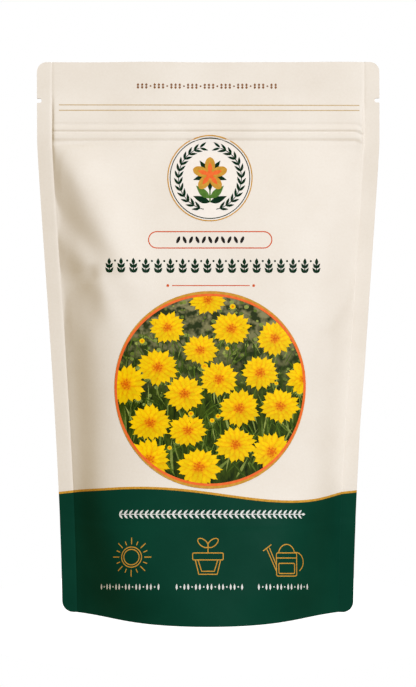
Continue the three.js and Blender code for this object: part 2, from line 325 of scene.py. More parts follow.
@dataclass(frozen=True)
class FilmFace:
    """One printed panel with the folds and dents that its filling leaves in it."""

    form: PouchForm
    side: Side
    pleats: tuple[Pleat, ...] = ()
    curl: float = 0.0
    ripple_depth: float = 0.085
    room_share: float = 0.75

    def ripple(self, u: float, height: float) -> float:
        """Shallow hollows all over the slack film, away from the welds, the zipper and the foot."""
        inside = ease(0, 16, self.form.arc_half - abs(u))
        inside *= ease(42, 70, height) * (1 - ease(self.form.zip_foot - 14, self.form.zip_foot, height))
        turn = self.side.value
        waves = math.sin(0.115 * u + 0.052 * height * turn + 0.7)
        waves += math.sin(-0.063 * u * turn + 0.101 * height + 2.1)
        waves += 0.7 * math.sin(0.21 * u * turn - 0.083 * height + 4.0)
        return inside * self.ripple_depth * (2.7 + waves)

    def inflated(self, u: float, height: float) -> float:
        """Depth of the panel with its folds and ripples, without the zipper and the film's thickness."""
        depth = self.form.bulge(u, height)
        if depth <= 0:
            return 0.0
        pushed = sum(pleat.at(u, height) for pleat in self.pleats) + self.ripple(u, height)
        if pushed < 0:
            return depth - pushed * min(1, depth / 2)
        room = self.room_share * depth
        return depth - room * math.tanh(pushed / room)

    def zipper_lift(self, u: float, height: float) -> float:
        """What the zipper adds: its tapes hold the films apart and its tracks stand out as stepped ridges."""
        form = self.form
        turned = self.curl * ease(form.arc_half - 4, form.arc_half - 0.5, u * self.side.value)
        down = form.height - height - turned
        below = 1 - ease(form.zip_bottom, form.zip_bottom + form.tape_fade, down)
        held = ease(form.top_seal, form.zip_top, down) * below
        tucked = ease(*form.tuck_ends, u) if self.side is Side.FRONT else 0.0
        tracks = form.stepped(form.zip_steps, down) + tucked * form.stepped(form.tuck_steps, down)
        inside = ease(0, form.track_fade, form.arc_half - abs(u))
        return inside * (held * form.tape_face + below * tracks)

    def weld_groove(self, u: float, height: float) -> float:
        """Depth of the line that the welding bar presses along a side weld's inner edge."""
        form = self.form
        low, more = form.groove_depths
        pressed = low + more * ease(form.zip_foot - 6, form.zip_foot, height)
        return pressed * hill(abs(u) - form.arc_half, form.groove_half)

    def depth(self, u: float, height: float) -> float:
        """Distance of the film's outer face from the middle plane."""
        form = self.form
        film = form.film_depth(u, height)
        over_gusset = 1 - ease(form.fold_height + 1, form.fold_height + 4, height)
        layers = form.clearance + over_gusset * (film + form.clearance)
        outward = self.inflated(u, height) + self.zipper_lift(u, height)
        return outward + layers + film - self.weld_groove(u, height)

    def point(self, u: float, height: float, lift: float = 0.0) -> Vector:
        """Finds a place on, or a little off, the outer face.

        Args:
            u, height: The place on the film.
            lift: Distance off the face, outwards.

        Returns:
            The place in the pouch's frame, in millimetres.
        """

        def on_face(a: float, b: float) -> Vector:
            """The face itself, as the front one stands."""
            x = self.form.across(a, b) * self.side.value
            y = self.form.sway(x, b) * self.side.value - self.depth(a, b)
            return Vector((self.form.drawn(x, b) * self.side.value, y, b))

        place = on_face(u, height)
        if lift:
            near = 0.3
            sideways = on_face(u + near, height) - on_face(u - near, height)
            upwards = on_face(u, height + near) - on_face(u, height - near)
            place += sideways.cross(upwards).normalized() * lift
        if self.side is Side.BACK:
            place.x, place.y = -place.x, -place.y
        return place

    def levelled(self, u: float, height: float) -> float:
        """Height on the film at which print must lie to look straight from the front.

        The panel bows towards the viewer, so the print is pre-arched by the bow seen from eye distance.
        """
        eye = Camera.distance
        share = (eye - self.form.bulge(u, height)) / (eye - self.form.bulge(0, height))
        return Camera.height + (height - Camera.height) * share


# --- materials -------------------------------------------------------------------------------------


class Bench:
    """Adds and wires the nodes of one material."""

    def __init__(self, name: str) -> None:
        """Starts a material with its shader and its output."""
        self.material = bpy.data.materials.new(name)
        self.material.use_nodes = True
        self.tree = self.material.node_tree
        self.shader = self.tree.nodes["Principled BSDF"]

    def node(
        self, kind: str, inputs: dict[str | int, object] | None = None, **settings: object
    ) -> bpy.types.Node:
        """Adds a node.

        Args:
            kind: The node's type name without its ShaderNode prefix.
            inputs: Values or sockets for its inputs, by name or number.
            settings: The node's own settings.

        Returns:
            The new node.
        """
        made = self.tree.nodes.new("ShaderNode" + kind)
        for key, value in settings.items():
            setattr(made, key, value)
        for key, value in (inputs or {}).items():
            self.feed(made.inputs[key], value)
        return made

    def feed(self, socket: Socket, value: object) -> None:
        """Links a socket, or sets its own value."""
        if isinstance(value, Socket):
            self.tree.links.new(value, socket)
        else:
            socket.default_value = value

    def math(self, operation: str, *values: object) -> Socket:
        """Adds a Math node and returns its result."""
        return self.node("Math", dict(enumerate(values)), operation=operation).outputs[0]

    def mix(self, factor: object, first: object, second: object, blend: str = "MIX") -> Socket:
        """Mixes two colours.

        Args:
            factor: The share of the second colour.
            first, second: The colours, as values or sockets.
            blend: The blend mode.

        Returns:
            The mixed colour.
        """
        made = self.node("Mix", {0: factor, 6: first, 7: second}, data_type="RGBA", blend_type=blend)
        return made.outputs[2]

    def noise(self, where: object, scale: float, detail: float = 3.0) -> Socket:
        """Adds a noise pattern and returns its value."""
        inputs = {"Vector": where, "Scale": scale, "Detail": detail, "Roughness": 0.55}
        return self.node("TexNoise", inputs).outputs["Fac"]

    def span(self, value: object, low: float, high: float, to_low: float, to_high: float) -> Socket:
        """Maps a value's range onto another one, held at both ends."""
        inputs = {0: value, 1: low, 2: high, 3: to_low, 4: to_high}
        return self.node("MapRange", inputs, clamp=True).outputs[0]

    def object_place(self) -> Socket:
        """Place in the object's own space, in metres."""
        return self.node("TexCoord").outputs["Object"]

    def patches(self, where: object, scale: float, low: float, high: float, detail: float = 3.0) -> Socket:
        """Adds soft patches: a noise pattern whose values between two levels are stretched over 0 to 1."""
        return self.span(self.noise(where, scale, detail), low, high, 0.0, 1.0)

    def grain(self) -> Sequence[Socket]:
        """Reads the drawn artwork's grain: the place along, the place across and the tone."""
        grain = self.node("Attribute", attribute_name="grain").outputs["Color"]
        return self.node("SeparateColor", {0: grain}).outputs

    def ramp(self, value: Socket, stops: Sequence[tuple[float, Colour]]) -> Socket:
        """Turns a value into a colour between stops, each with its place and colour, in order."""
        made = self.node("ValToRGB", {0: value})
        elements = made.color_ramp.elements
        for element, (position, colour) in zip((elements[0], elements[-1]), (stops[0], stops[-1])):
            element.position, element.color = position, colour
        for position, colour in stops[1:-1]:
            elements.new(position).color = colour
        return made.outputs[0]

    def dress(self, **sockets: object) -> Material:
        """Sets the shader's sockets, whose names are given with _ for a space, and returns the material."""
        for name, value in sockets.items():
            self.feed(self.shader.inputs[name.replace("_", " ")], value)
        return self.material


@dataclass(frozen=True)
class PrintedFilm:
    """Matte printed laminate: cream above, a dark green band below and a gold wave between them."""

    cream: Colour = srgb(242, 236, 225)
    cream_shade: Colour = srgb(238, 231, 219)
    green: Colour = srgb(12, 64, 48)
    green_shade: Colour = srgb(10, 59, 44)
    gold: Colour = srgb(214, 161, 60)
    gold_shade: Colour = srgb(196, 142, 47)
    wave_height: float = 57.0
    wave_rise: float = 3.2
    wave_length: float = 152.0
    wave_crest: float = -30.0
    gold_half: float = 0.52
    press_tint: Colour = (0.93, 0.91, 0.88, 1.0)
    sheen: float = 0.02

    def make(self, name: str, turn: int) -> Material:
        """Builds the material.

        Args:
            name: The material's name.
            turn: 1 where the wave's crest lies left of the middle, -1 where it lies right of it.

        Returns:
            The material, which reads the film's own UV map.
        """
        bench = Bench(name)
        uv = bench.node("UVMap", uv_map="film").outputs[0]
        size = (FORM.flat_width, FORM.height, 1.0)
        shift = (-FORM.flat_width / 2, 0.0, 0.0)
        flat = bench.node("Mapping", {"Vector": uv, "Scale": size, "Location": shift}).outputs[0]
        u, height, _ = bench.node("SeparateXYZ", {0: flat}).outputs
        from_crest = bench.math("SUBTRACT", u, self.wave_crest * turn)
        swing = bench.math("COSINE", bench.math("MULTIPLY", from_crest, TURN / self.wave_length))
        wave = bench.math("MULTIPLY_ADD", swing, self.wave_rise, self.wave_height)
        above = bench.math("SUBTRACT", height, wave)
        in_green = bench.math("LESS_THAN", above, 0.0)
        in_gold = bench.math("LESS_THAN", bench.math("ABSOLUTE", above), self.gold_half)

        broad = bench.noise(flat, 0.035, 4.0)
        fine = bench.noise(flat, 0.9, 3.0)
        mottle = bench.span(broad, 0.35, 0.65, 0.0, 1.0)
        cream = bench.mix(mottle, self.cream, self.cream_shade)
        green = bench.mix(mottle, self.green, self.green_shade)
        gold = bench.mix(bench.span(fine, 0.4, 0.6, 0.0, 1.0), self.gold, self.gold_shade)
        colour = bench.mix(in_gold, bench.mix(in_green, cream, green), gold)
        colour = bench.mix(bench.span(fine, 0.35, 0.7, 0.0, 0.3), colour, self.press_tint, "MULTIPLY")

        satin = bench.span(broad, 0.35, 0.65, 0.46, 0.56)
        grain = bench.noise(flat, 1.7, 5.0)
        crumple = bench.noise(flat, 0.11, 2.0)
        relief = bench.math("MULTIPLY_ADD", crumple, 3.0, grain)
        bump = bench.node("Bump", {"Height": relief, "Strength": 0.1, "Distance": 0.0003}).outputs[0]
        return bench.dress(Base_Color=colour, Roughness=satin, Normal=bump, Specular_IOR_Level=self.sheen)


@dataclass(frozen=True)
class MilkyPlastic:
    """Unprinted polyethylene, of the film's inner face and the zipper."""

    name: str
    colour: Colour
    shade: Colour
    roughness: float
    translucence: float
    scatter: Triple = (0.0012, 0.0011, 0.0009)

    def make(self) -> Material:
        """Builds the material with a faint cloudiness and drawing lines."""
        bench = Bench(self.name)
        place = bench.object_place()
        cloud = bench.patches(place, 120.0, 0.4, 0.62)
        stretched = bench.node("Mapping", {"Vector": place, "Scale": (12.0, 900.0, 900.0)}).outputs[0]
        lines = bench.noise(stretched, 1.0, 2.0)
        bump = bench.node("Bump", {"Height": lines, "Strength": 0.2, "Distance": 0.00005}).outputs[0]
        rough = bench.span(cloud, 0.0, 1.0, self.roughness - 0.05, self.roughness + 0.06)
        bench.dress(Subsurface_Weight=self.translucence, Subsurface_Radius=self.scatter)
        return bench.dress(Base_Color=bench.mix(cloud, self.colour, self.shade), Roughness=rough, Normal=bump)


@dataclass(frozen=True)
class Ink:
    """A flat printing ink with the slight mottle of a press."""

    name: str
    colour: Colour
    shade: Colour
    roughness: float = 0.5

    def make(self) -> Material:
        """Builds the material."""
        bench = Bench(self.name)
        mottle = bench.patches(bench.object_place(), 650.0, 0.38, 0.62)
        rough = bench.span(mottle, 0.0, 1.0, self.roughness - 0.04, self.roughness + 0.04)
        colour = bench.mix(mottle, self.colour, self.shade)
        return bench.dress(Base_Color=colour, Roughness=rough, Specular_IOR_Level=INK_SHEEN)


@dataclass(frozen=True)
class PetalInk:
    """Petals printed from a deep root colour to a bright tip, darker along their edges."""

    name: str
    root: Colour
    middle: Colour
    tip: Colour
    edge: float = 0.4

    def make(self) -> Material:
        """Builds the material, which reads the grain attribute: along, across and tone."""
        bench = Bench(self.name)
        along, across, tone = bench.grain()
        streak = bench.span(bench.noise(bench.object_place(), 1400.0), 0.3, 0.7, -0.12, 0.12)
        stops = ((0.12, self.root), (0.42, self.middle), (0.72, self.tip))
        ramp = bench.ramp(bench.math("ADD", along, streak), stops)
        rim = bench.math("MULTIPLY", bench.math("POWER", across, 3.0), self.edge)
        grey = bench.node("CombineColor", {0: tone, 1: tone, 2: tone}).outputs[0]
        colour = bench.mix(1.0, bench.mix(rim, ramp, self.root), grey, "MULTIPLY")
        return bench.dress(Base_Color=colour, Roughness=0.5, Specular_IOR_Level=INK_SHEEN)


@dataclass(frozen=True)
class FoliageInk:
    """Leaves and stems printed in greens, from dark to pale by their tone."""

    name: str = "picture_foliage_ink"
    dark: Colour = srgb(24, 46, 4)
    middle: Colour = srgb(70, 96, 18)
    pale: Colour = srgb(154, 166, 84)

    def make(self) -> Material:
        """Builds the material, which reads the grain attribute's tone and its place across a leaf."""
        bench = Bench(self.name)
        _, across, tone = bench.grain()
        speck = bench.span(bench.noise(bench.object_place(), 1100.0), 0.3, 0.7, -0.1, 0.1)
        stops = ((0.0, self.dark), (0.5, self.middle), (1.0, self.pale))
        ramp = bench.ramp(bench.math("ADD", tone, speck), stops)
        vein = bench.span(across, 0.0, 0.3, 0.25, 0.0)
        return bench.dress(
            Base_Color=bench.mix(vein, ramp, self.pale), Roughness=0.5, Specular_IOR_Level=INK_SHEEN
        )


@dataclass(frozen=True)
class GroundInk:
    """The soft, dark planting behind the pictured blooms: mossy below, misty towards the top."""

    name: str = "picture_ground_ink"
    deep: Colour = srgb(20, 34, 5)
    moss: Colour = srgb(64, 82, 17)
    mist: Colour = srgb(142, 138, 96)
    shadow: Colour = srgb(44, 54, 26)
    low: float = 0.10
    high: float = 0.14

    def make(self) -> Material:
        """Builds the material from noise and the height above the surface."""
        bench = Bench(self.name)
        place = bench.object_place()
        _, _, height = bench.node("SeparateXYZ", {0: place}).outputs
        drawn = bench.node("Mapping", {"Vector": place, "Scale": (420.0, 420.0, 150.0)}).outputs[0]
        leaves = bench.patches(drawn, 1.0, 0.36, 0.66, 4.0)
        blobs = bench.patches(place, 260.0, 0.42, 0.6, 2.0)
        low = bench.mix(leaves, self.deep, self.moss)
        high = bench.mix(blobs, self.shadow, self.mist)
        rise = bench.span(height, self.low, self.high, 0.0, 1.0)
        return bench.dress(Base_Color=bench.mix(rise, low, high), Roughness=0.5, Specular_IOR_Level=INK_SHEEN)


@dataclass(frozen=True)
class SeedCoat:
    """Dry, dark seed coats with pale husk edges."""

    name: str = "seed_coat"
    dark: Colour = srgb(58, 38, 24)
    pale: Colour = srgb(132, 98, 62)

    def make(self) -> Material:
        """Builds the material with seed-sized cells and a rough skin."""
        bench = Bench(self.name)
        place = bench.object_place()
        cells = bench.node("TexVoronoi", {"Vector": place, "Scale": 420.0}, feature="F1")
        tint = bench.node("SeparateColor", {0: cells.outputs["Color"]}).outputs[0]
        husk = bench.mix(tint, self.dark, self.pale)
        skin = bench.noise(place, 2600.0, 4.0)
        colour = bench.mix(bench.span(skin, 0.3, 0.75, 0.0, 0.35), husk, self.dark)
        bump = bench.node("Bump", {"Height": cells.outputs["Distance"], "Strength": 0.7, "Distance": 0.0006})
        bump.invert = True
        return bench.dress(Base_Color=colour, Roughness=0.72, Normal=bump.outputs[0])


@dataclass(frozen=True)
class StudioFloor:
    """The pale, even floor of the studio."""

    colour: Colour = (0.5, 0.5, 0.5, 1.0)
    glow: Colour = (1.0, 1.0, 1.0, 1.0)
    strength: float = 1.0

    def make(self) -> Material:
        """Builds the floor's material."""
        bench = Bench("studio_floor")
        bench.dress(Emission_Color=self.glow, Emission_Strength=self.strength)
        return bench.dress(Base_Color=self.colour, Roughness=0.9, Specular_IOR_Level=0.0)


# --- meshes ----------------------------------------------------------------------------------------


def thicken(mesh: Mesh, wall: float, lining: int) -> None:
    """Gives an open sheet a thickness behind its face, with sharp edges at its rim.

    Args:
        mesh: The sheet, whose faces point outwards.
        wall: The thickness.
        lining: Material number of the back and the rim.
    """
    mesh.normal_update()
    sheet = list(mesh.faces)
    rim = [edge for edge in mesh.edges if edge.is_boundary]
    behind = {}
    for vertex in list(mesh.verts):
        place = vertex.co - vertex.normal * wall
        place.z = max(place.z, 0)
        behind[vertex] = mesh.verts.new(place)
    for edge in rim:
        corner = edge.link_loops[0]
        here, there = corner.vert, corner.link_loop_next.vert
        mesh.faces.new((there, here, behind[here], behind[there])).material_index = lining
        edge.smooth = mesh.edges.get((behind[here], behind[there])).smooth = False
    for face in sheet:
        mesh.faces.new([behind[vertex] for vertex in reversed(face.verts)]).material_index = lining


def finish_mesh(
    name: str,
    mesh: Mesh,
    materials: Sequence[Material],
    wall: float = 0.0,
    replaces: Sequence[str] = (),
) -> None:
    """Brings a mesh to metres and makes it a piece that rides on the pouch's one body.

    Args:
        name: The piece's name.
        mesh: The mesh in millimetres, which is freed.
        materials: The piece's materials, in the order of its faces' material numbers.
        wall: Thickness that an open sheet is given behind its face, in millimetres.
        replaces: CAD nodes that the piece stands for.
    """
    if wall:
        thicken(mesh, wall, len(materials) - 1)
    bmesh.ops.scale(mesh, vec=(MM, MM, MM), verts=mesh.verts)
    for face in mesh.faces:
        face.smooth = True
    data = bpy.data.meshes.new(name)
    mesh.to_mesh(data)
    mesh.free()
    for material in materials:
        data.materials.append(material)
    piece = bpy.data.objects.new(name, data)
    bpy.context.scene.collection.objects.link(piece)
    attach(piece, ROOT)
    if replaces:
        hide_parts(*replaces)
    LOG.info("%s: %d vertices", name, len(data.vertices))


def grid_of(mesh: Mesh, columns: int, rows: int) -> list[tuple[bmesh.types.BMVert, int, int]]:
    """Makes a flat grid and says which column and row each of its vertices is in.

    Args:
        mesh: The mesh that the grid is added to.
        columns, rows: The number of places across and up.

    Returns:
        Each vertex with its column and its row.
    """
    made = bmesh.ops.create_grid(mesh, x_segments=columns - 1, y_segments=rows - 1, size=1)["verts"]
    numbered = []
    for vertex in made:
        column = round((vertex.co.x + 1) / 2 * (columns - 1))
        row = round((vertex.co.y + 1) / 2 * (rows - 1))
        numbered.append((vertex, column, row))
    return numbered


@dataclass
class FilmPanel:
    """A printed panel of the pouch, welded along its sides."""

    face: FilmFace
    spacing: float
    fine: float
    wall: float = 0.3

    def columns(self) -> list[float]:
        """Places across the film, closer together at the welds' inner edges."""
        form = self.face.form
        half = steps(0, form.arc_half - 2.4, self.spacing)
        half += [form.arc_half + near for near in (-1.6, -1.1, -0.75, -0.45, -0.2, 0, 0.2, 0.45, 0.75, 1.2)]
        half += steps(form.arc_half + 1.8, form.flat_width / 2, 1.3)
        return thinned([-u for u in half] + half)

    def rows(self) -> list[float]:
        """Heights up the film, closer together at the corners, the notches and the zipper."""
        form = self.face.form
        quarter = [math.pi / 2 * i / 7 for i in range(8)]
        notch = form.height - form.notch_down
        heights = steps(form.bottom_corner, form.height - form.top_corner, self.spacing)
        heights = [h for h in heights if abs(h - notch) > form.notch_half + 0.2]
        heights += [form.bottom_corner * (1 - math.cos(a)) for a in quarter]
        heights += [form.height - form.top_corner * (1 - math.cos(a)) for a in quarter]
        heights += steps(form.zip_foot - 3, form.height - form.zip_top + 1, self.fine)
        heights += [notch + s * form.notch_half * math.sin(a) for a in quarter for s in (-1, 1)]
        heights += [notch - form.notch_half - 0.05, notch + form.notch_half + 0.05]
        return thinned(heights)

    def build(self, name: str, print_film: Material, inner: Material, node: str) -> None:
        """Models the panel as one sheet with a UV map of film places.

        Args:
            name: The piece's name.
            print_film: The outer, printed face's material.
            inner: The material of the inner face and the cut edge.
            node: The CAD node that the panel stands for.
        """
        form = self.face.form
        columns, rows = self.columns(), self.rows()
        mesh = bmesh.new()
        uv = mesh.loops.layers.uv.new("film")
        for vertex, column, row in grid_of(mesh, len(columns), len(rows)):
            vertex.co = self.face.point(columns[column], rows[row])
            for loop in vertex.link_loops:
                loop[uv].uv = (columns[column] / form.flat_width + 0.5, rows[row] / form.height)
        finish_mesh(name, mesh, [print_film, inner], self.wall, [node])


@dataclass
class BaseGusset:
    """The folded base film: a skirt welded behind each panel and two leaves that meet in a fold."""

    front: FilmFace
    back: FilmFace
    wall: float = 0.3
    skirt_steps: int = 6
    leaf_steps: int = 12

    def path(self, u: float) -> list[Place]:
        """Works out the gusset's path at a place across, in the plane of depth and height.

        Args:
            u: The place across the film.

        Returns:
            The points from the front's lower edge over the fold to the back's.
        """
        form = self.front.form
        weld, fold = form.foot_weld(u), form.fold_top(u)
        sag = form.leaf_sag * (1 - min(abs(u) / form.arc_half, 1))

        def half(face: FilmFace, turned: float) -> list[Place]:
            """One skirt and leaf, from the lower edge almost to the fold."""
            points = []
            for i in range(self.skirt_steps + 1):
                height = weld * i / self.skirt_steps
                film = form.film_depth(turned, height)
                points.append((face.inflated(turned, height) + form.clearance + film / 2, height))
            start = points[-1]
            for i in range(1, self.leaf_steps):
                share = i / self.leaf_steps
                height = start[1] + (fold - start[1]) * share - sag * 4 * share * (1 - share)
                points.append((start[0] * (1 - share), height))
            return points

        ahead = [(-depth, height) for depth, height in half(self.front, u)]
        behind = half(self.back, -u)
        return ahead + [(0.0, fold)] + behind[::-1]

    def build(self, outer: Material, inner: Material) -> None:
        """Models the gusset as one sheet across the whole base, in place of the CAD gusset.

        Args:
            outer: The material of the printed face, which the underside shows.
            inner: The material of the face towards the seed and of the cut edge.
        """
        form = self.front.form
        half = steps(0, form.arc_half - 1.5, 1.6) + [form.arc_half - 0.6, form.arc_half]
        half += steps(form.arc_half + 1.5, form.flat_width / 2, 1.8)
        columns = thinned([-u for u in half] + half)
        paths = [self.path(u) for u in columns]
        mesh = bmesh.new()
        for vertex, column, row in grid_of(mesh, len(columns), len(paths[0])):
            depth, height = paths[column][row]
            x = form.across(columns[column], height)
            vertex.co = (form.drawn(x, height), depth + form.sway(x, height), height)
        bmesh.ops.reverse_faces(mesh, faces=mesh.faces)
        mesh.normal_update()
        for vertex in mesh.verts:
            vertex.co += vertex.normal * self.wall / 2
            vertex.co.z = max(vertex.co.z, 0)
        finish_mesh("base_gusset_film", mesh, [outer, inner], self.wall, ["bottom_gusset"])


class Outline(Enum):
    """How the half width of a drawn blade runs from its root, 0, to its tip, 1."""

    PETAL = "petal"
    LEAF = "leaf"
    SEED = "seed"

    def half_width(self, share: float) -> float:
        """Share of the blade's greatest half width at a share of its length."""
        if self is Outline.PETAL:
            widest = 0.66
            swell = 0.2 + 0.8 * math.sin(math.pi / 2 * min(share / widest, 1))
            return swell * (1 - 0.5 * ease(widest, 1.02, share))
        if self is Outline.LEAF:
            return max(math.sin(math.pi * share**0.85), 0.05)
        return max(math.sqrt(max(1 - (2 * share - 1) ** 2, 0)), 0.12)


@dataclass
class Stencil:
    """Flat artwork in film places: X is u, Y the height and Z the step of ink above the film."""

    mesh: Mesh = field(default_factory=bmesh.new)
    lift: float = 0.05
    wall: float = 0.03

    def __post_init__(self) -> None:
        """Adds the grain (place along, place across and tone) and a mark for points already drawn."""
        self.drawn = self.mesh.verts.layers.int.new("drawn")
        self.grain = self.mesh.verts.layers.float_color.new("grain")

    def _fresh(self) -> list[bmesh.types.BMVert]:
        """The points of the shape that is being drawn."""
        return [vertex for vertex in self.mesh.verts if not vertex[self.drawn]]

    def band(
        self,
        centre: Place,
        inner: float,
        outer: float,
        step: float = 0.0,
        squash: float = 1.0,
        tone: float = 1.0,
        segments: int = 96,
    ) -> None:
        """Draws a ring, or a disc where the inner radius is 0.

        Args:
            centre: The ring's centre.
            inner, outer: Its radii across.
            step: The ink's step above the film.
            squash: Height of the ring as a share of its width.
            tone: The grain's tone.
            segments: Edges round the ring.
        """
        radii = steps(inner, outer, 1.3)
        line = [self.mesh.verts.new((radius, 0, 0)) for radius in radii]
        for vertex, radius in zip(line, radii):
            vertex[self.grain] = (radius / outer, 0.0, tone, 1.0)
        edges = [self.mesh.edges.new(pair) for pair in zip(line, line[1:])]
        bmesh.ops.spin(
            self.mesh,
            geom=[*line, *edges],
            cent=(0, 0, 0),
            axis=(0, 0, 1),
            dvec=(0, 0, 0),
            angle=TURN,
            steps=segments,
            use_merge=True,
        )
        if inner == 0:
            bmesh.ops.remove_doubles(self.mesh, verts=self._fresh(), dist=1e-4)
        for vertex in self._fresh():
            vertex.co = (centre[0] + vertex.co.x, centre[1] + vertex.co.y * squash, step)
            vertex[self.drawn] = 1

    def ribbon(self, path: Sequence[Place], width: float, step: float = 0.0) -> None:
        """Draws a line of even width along a path, closed where the path ends at its start.

        Args:
            path: The line's points.
            width: Its width.
            step: The ink's step above the film.
        """
        points = self._resampled(path)
        closed = math.dist(points[0], points[-1]) < 1e-6
        for vertex, column, row in grid_of(self.mesh, len(points), 2):
            ahead = points[min(column + 1, len(points) - 1)]
            behind = points[max(column - 1, 0)]
            if closed and column in (0, len(points) - 1):
                ahead, behind = points[1], points[-2]
            run = Vector((ahead[0] - behind[0], ahead[1] - behind[1])).normalized()
            reach = width * (row - 0.5)
            vertex.co = (points[column][0] - run.y * reach, points[column][1] + run.x * reach, step)
        if closed:
            bmesh.ops.remove_doubles(self.mesh, verts=self._fresh(), dist=1e-3)
        for vertex in self._fresh():
            vertex[self.drawn] = 1

    @staticmethod
    def _resampled(path: Sequence[Place]) -> list[Place]:
        """Divides a path's long stretches so that a drawn line follows the bowed film."""
        points = [path[0]]
        for start, end in zip(path, path[1:]):
            run = (end[0] - start[0], end[1] - start[1])
            shares = steps(0, 1, 1.2 / max(math.hypot(*run), 1e-6))[1:]
            points += [(start[0] + run[0] * share, start[1] + run[1] * share) for share in shares]
        return points

    def blade(
        self,
        root: Place,
        angle: float,
        length: float,
        width: float,
        outline: Outline,
        step: float = 0.0,
        tone: float = 1.0,
        bow: float = 0.0,
        teeth: float = 0.0,
        squash: float = 1.0,
        cells: tuple[int, int] = (6, 4),
    ) -> None:
        """Draws a petal, a leaf or a seed.

        Args:
            root: Where the blade starts.
            angle: The direction that it grows in.
            length, width: Its size.
            outline: The run of its width.
            step: The ink's step above the film.
            tone: The grain's tone.
            bow: Sideways bend at the tip, as a share of the length.
            teeth: Depth of the teeth at the tip, as a share of the length.
            squash: Height of the drawing as a share of its width.
            cells: Faces along and across.
        """
        across, up = math.cos(angle), math.sin(angle)
        for vertex, column, row in grid_of(self.mesh, cells[0] + 1, cells[1] + 1):
            share, aside = column / cells[0], 2 * row / cells[1] - 1
            cut = teeth * ease(0.7, 1, share) * (aside**2 + 0.6 * (row % 2))
            along = length * (share - cut)
            off = width / 2 * outline.half_width(share) * aside + bow * length * share**2
            x, y = across * along - up * off, up * along + across * off
            vertex.co = (root[0] + x, root[1] + y * squash, step)
            vertex[self.grain] = (share, abs(aside), tone, 1.0)
            vertex[self.drawn] = 1

    def clip(self, centre: Place, radius: float, squash: float, edges: int = 90) -> None:
        """Cuts away what lies outside an oval.

        Args:
            centre: The oval's centre.
            radius: Its half width.
            squash: Its height as a share of its width.
            edges: Number of straight cuts round it.
        """
        for i in range(edges):
            angle = TURN * i / edges
            normal = Vector((math.cos(angle), math.sin(angle) / squash, 0))
            on_rim = (centre[0] + radius * math.cos(angle), centre[1] + radius * squash * math.sin(angle), 0)
            everything = [*self.mesh.verts, *self.mesh.edges, *self.mesh.faces]
            bmesh.ops.bisect_plane(
                self.mesh, geom=everything, dist=1e-5, plane_co=on_rim, plane_no=normal, clear_outer=True
            )

    def press(self, name: str, face: FilmFace, ink: Material) -> None:
        """Lays the artwork on a film as a thin layer of ink.

        Args:
            name: The piece's name.
            face: The film.
            ink: The artwork's ink.
        """
        for drawn in self.mesh.faces:
            drawn.normal_update()
            if drawn.normal.z < 0:
                drawn.normal_flip()
        for vertex in self.mesh.verts:
            u, height, step = vertex.co
            vertex.co = face.point(u, face.levelled(u, height), self.lift + step)
        finish_mesh(name, self.mesh, [ink], self.wall)


def circle_path(
    centre: Place, radius: float, start: float = 0.0, end: float = TURN, squash: float = 1.0
) -> list[Place]:
    """Points along a circle or an arc of one, anticlockwise."""
    count = max(6, round(abs(end - start) * radius / 0.9))
    angles = [start + (end - start) * i / count for i in range(count + 1)]
    return [(centre[0] + radius * math.cos(a), centre[1] + radius * squash * math.sin(a)) for a in angles]


def rounded_box(centre: Place, half_width: float, half_height: float, radius: float) -> list[Place]:
    """Closed path round a box with rounded corners, anticlockwise."""
    path: list[Place] = []
    for quarter in range(4):
        right = 1 if quarter in (0, 3) else -1
        upper = 1 if quarter in (0, 1) else -1
        middle = (centre[0] + right * (half_width - radius), centre[1] + upper * (half_height - radius))
        path += circle_path(middle, radius, quarter * math.pi / 2, (quarter + 1) * math.pi / 2)
    return path + path[:1]


def mirrored(path: Sequence[Place], middle: float) -> list[Place]:
    """Adds a path's mirror image, run backwards, to make a symmetric closed outline."""
    return [*path, *[(2 * middle - u, height) for u, height in reversed(path)]]


def fresh_ink(name: str, colour: tuple[int, int, int], shade: tuple[int, int, int]) -> Material:
    """Declares a field that holds a new ink, given by the screen colours of its print and its mottle."""
    return field(default_factory=Ink(name, srgb(*colour), srgb(*shade)).make)


@dataclass(frozen=True)
class Inks:
    """The printing inks of the pouch."""

    green: Material = fresh_ink("ink_dark_green", (6, 40, 20), (9, 47, 25))
    gold: Material = fresh_ink("ink_gold", (214, 160, 62), (198, 146, 52))
    tan: Material = fresh_ink("ink_tan", (211, 186, 142), (200, 174, 130))
    brown: Material = fresh_ink("ink_brown", (146, 100, 62), (132, 88, 52))
    orange: Material = fresh_ink("ink_orange", (246, 118, 56), (238, 106, 48))
    red: Material = fresh_ink("ink_orange_red", (218, 96, 46), (206, 84, 38))
    black: Material = fresh_ink("ink_black", (26, 24, 22), (36, 33, 30))
    white: Material = fresh_ink("ink_white", (236, 238, 234), (222, 226, 222))
    ivory: Material = fresh_ink("ink_ivory", (248, 242, 233), (245, 239, 230))
    leaf: Material = fresh_ink("ink_leaf", (88, 128, 52), (76, 116, 44))


# --- printed artwork -------------------------------------------------------------------------------


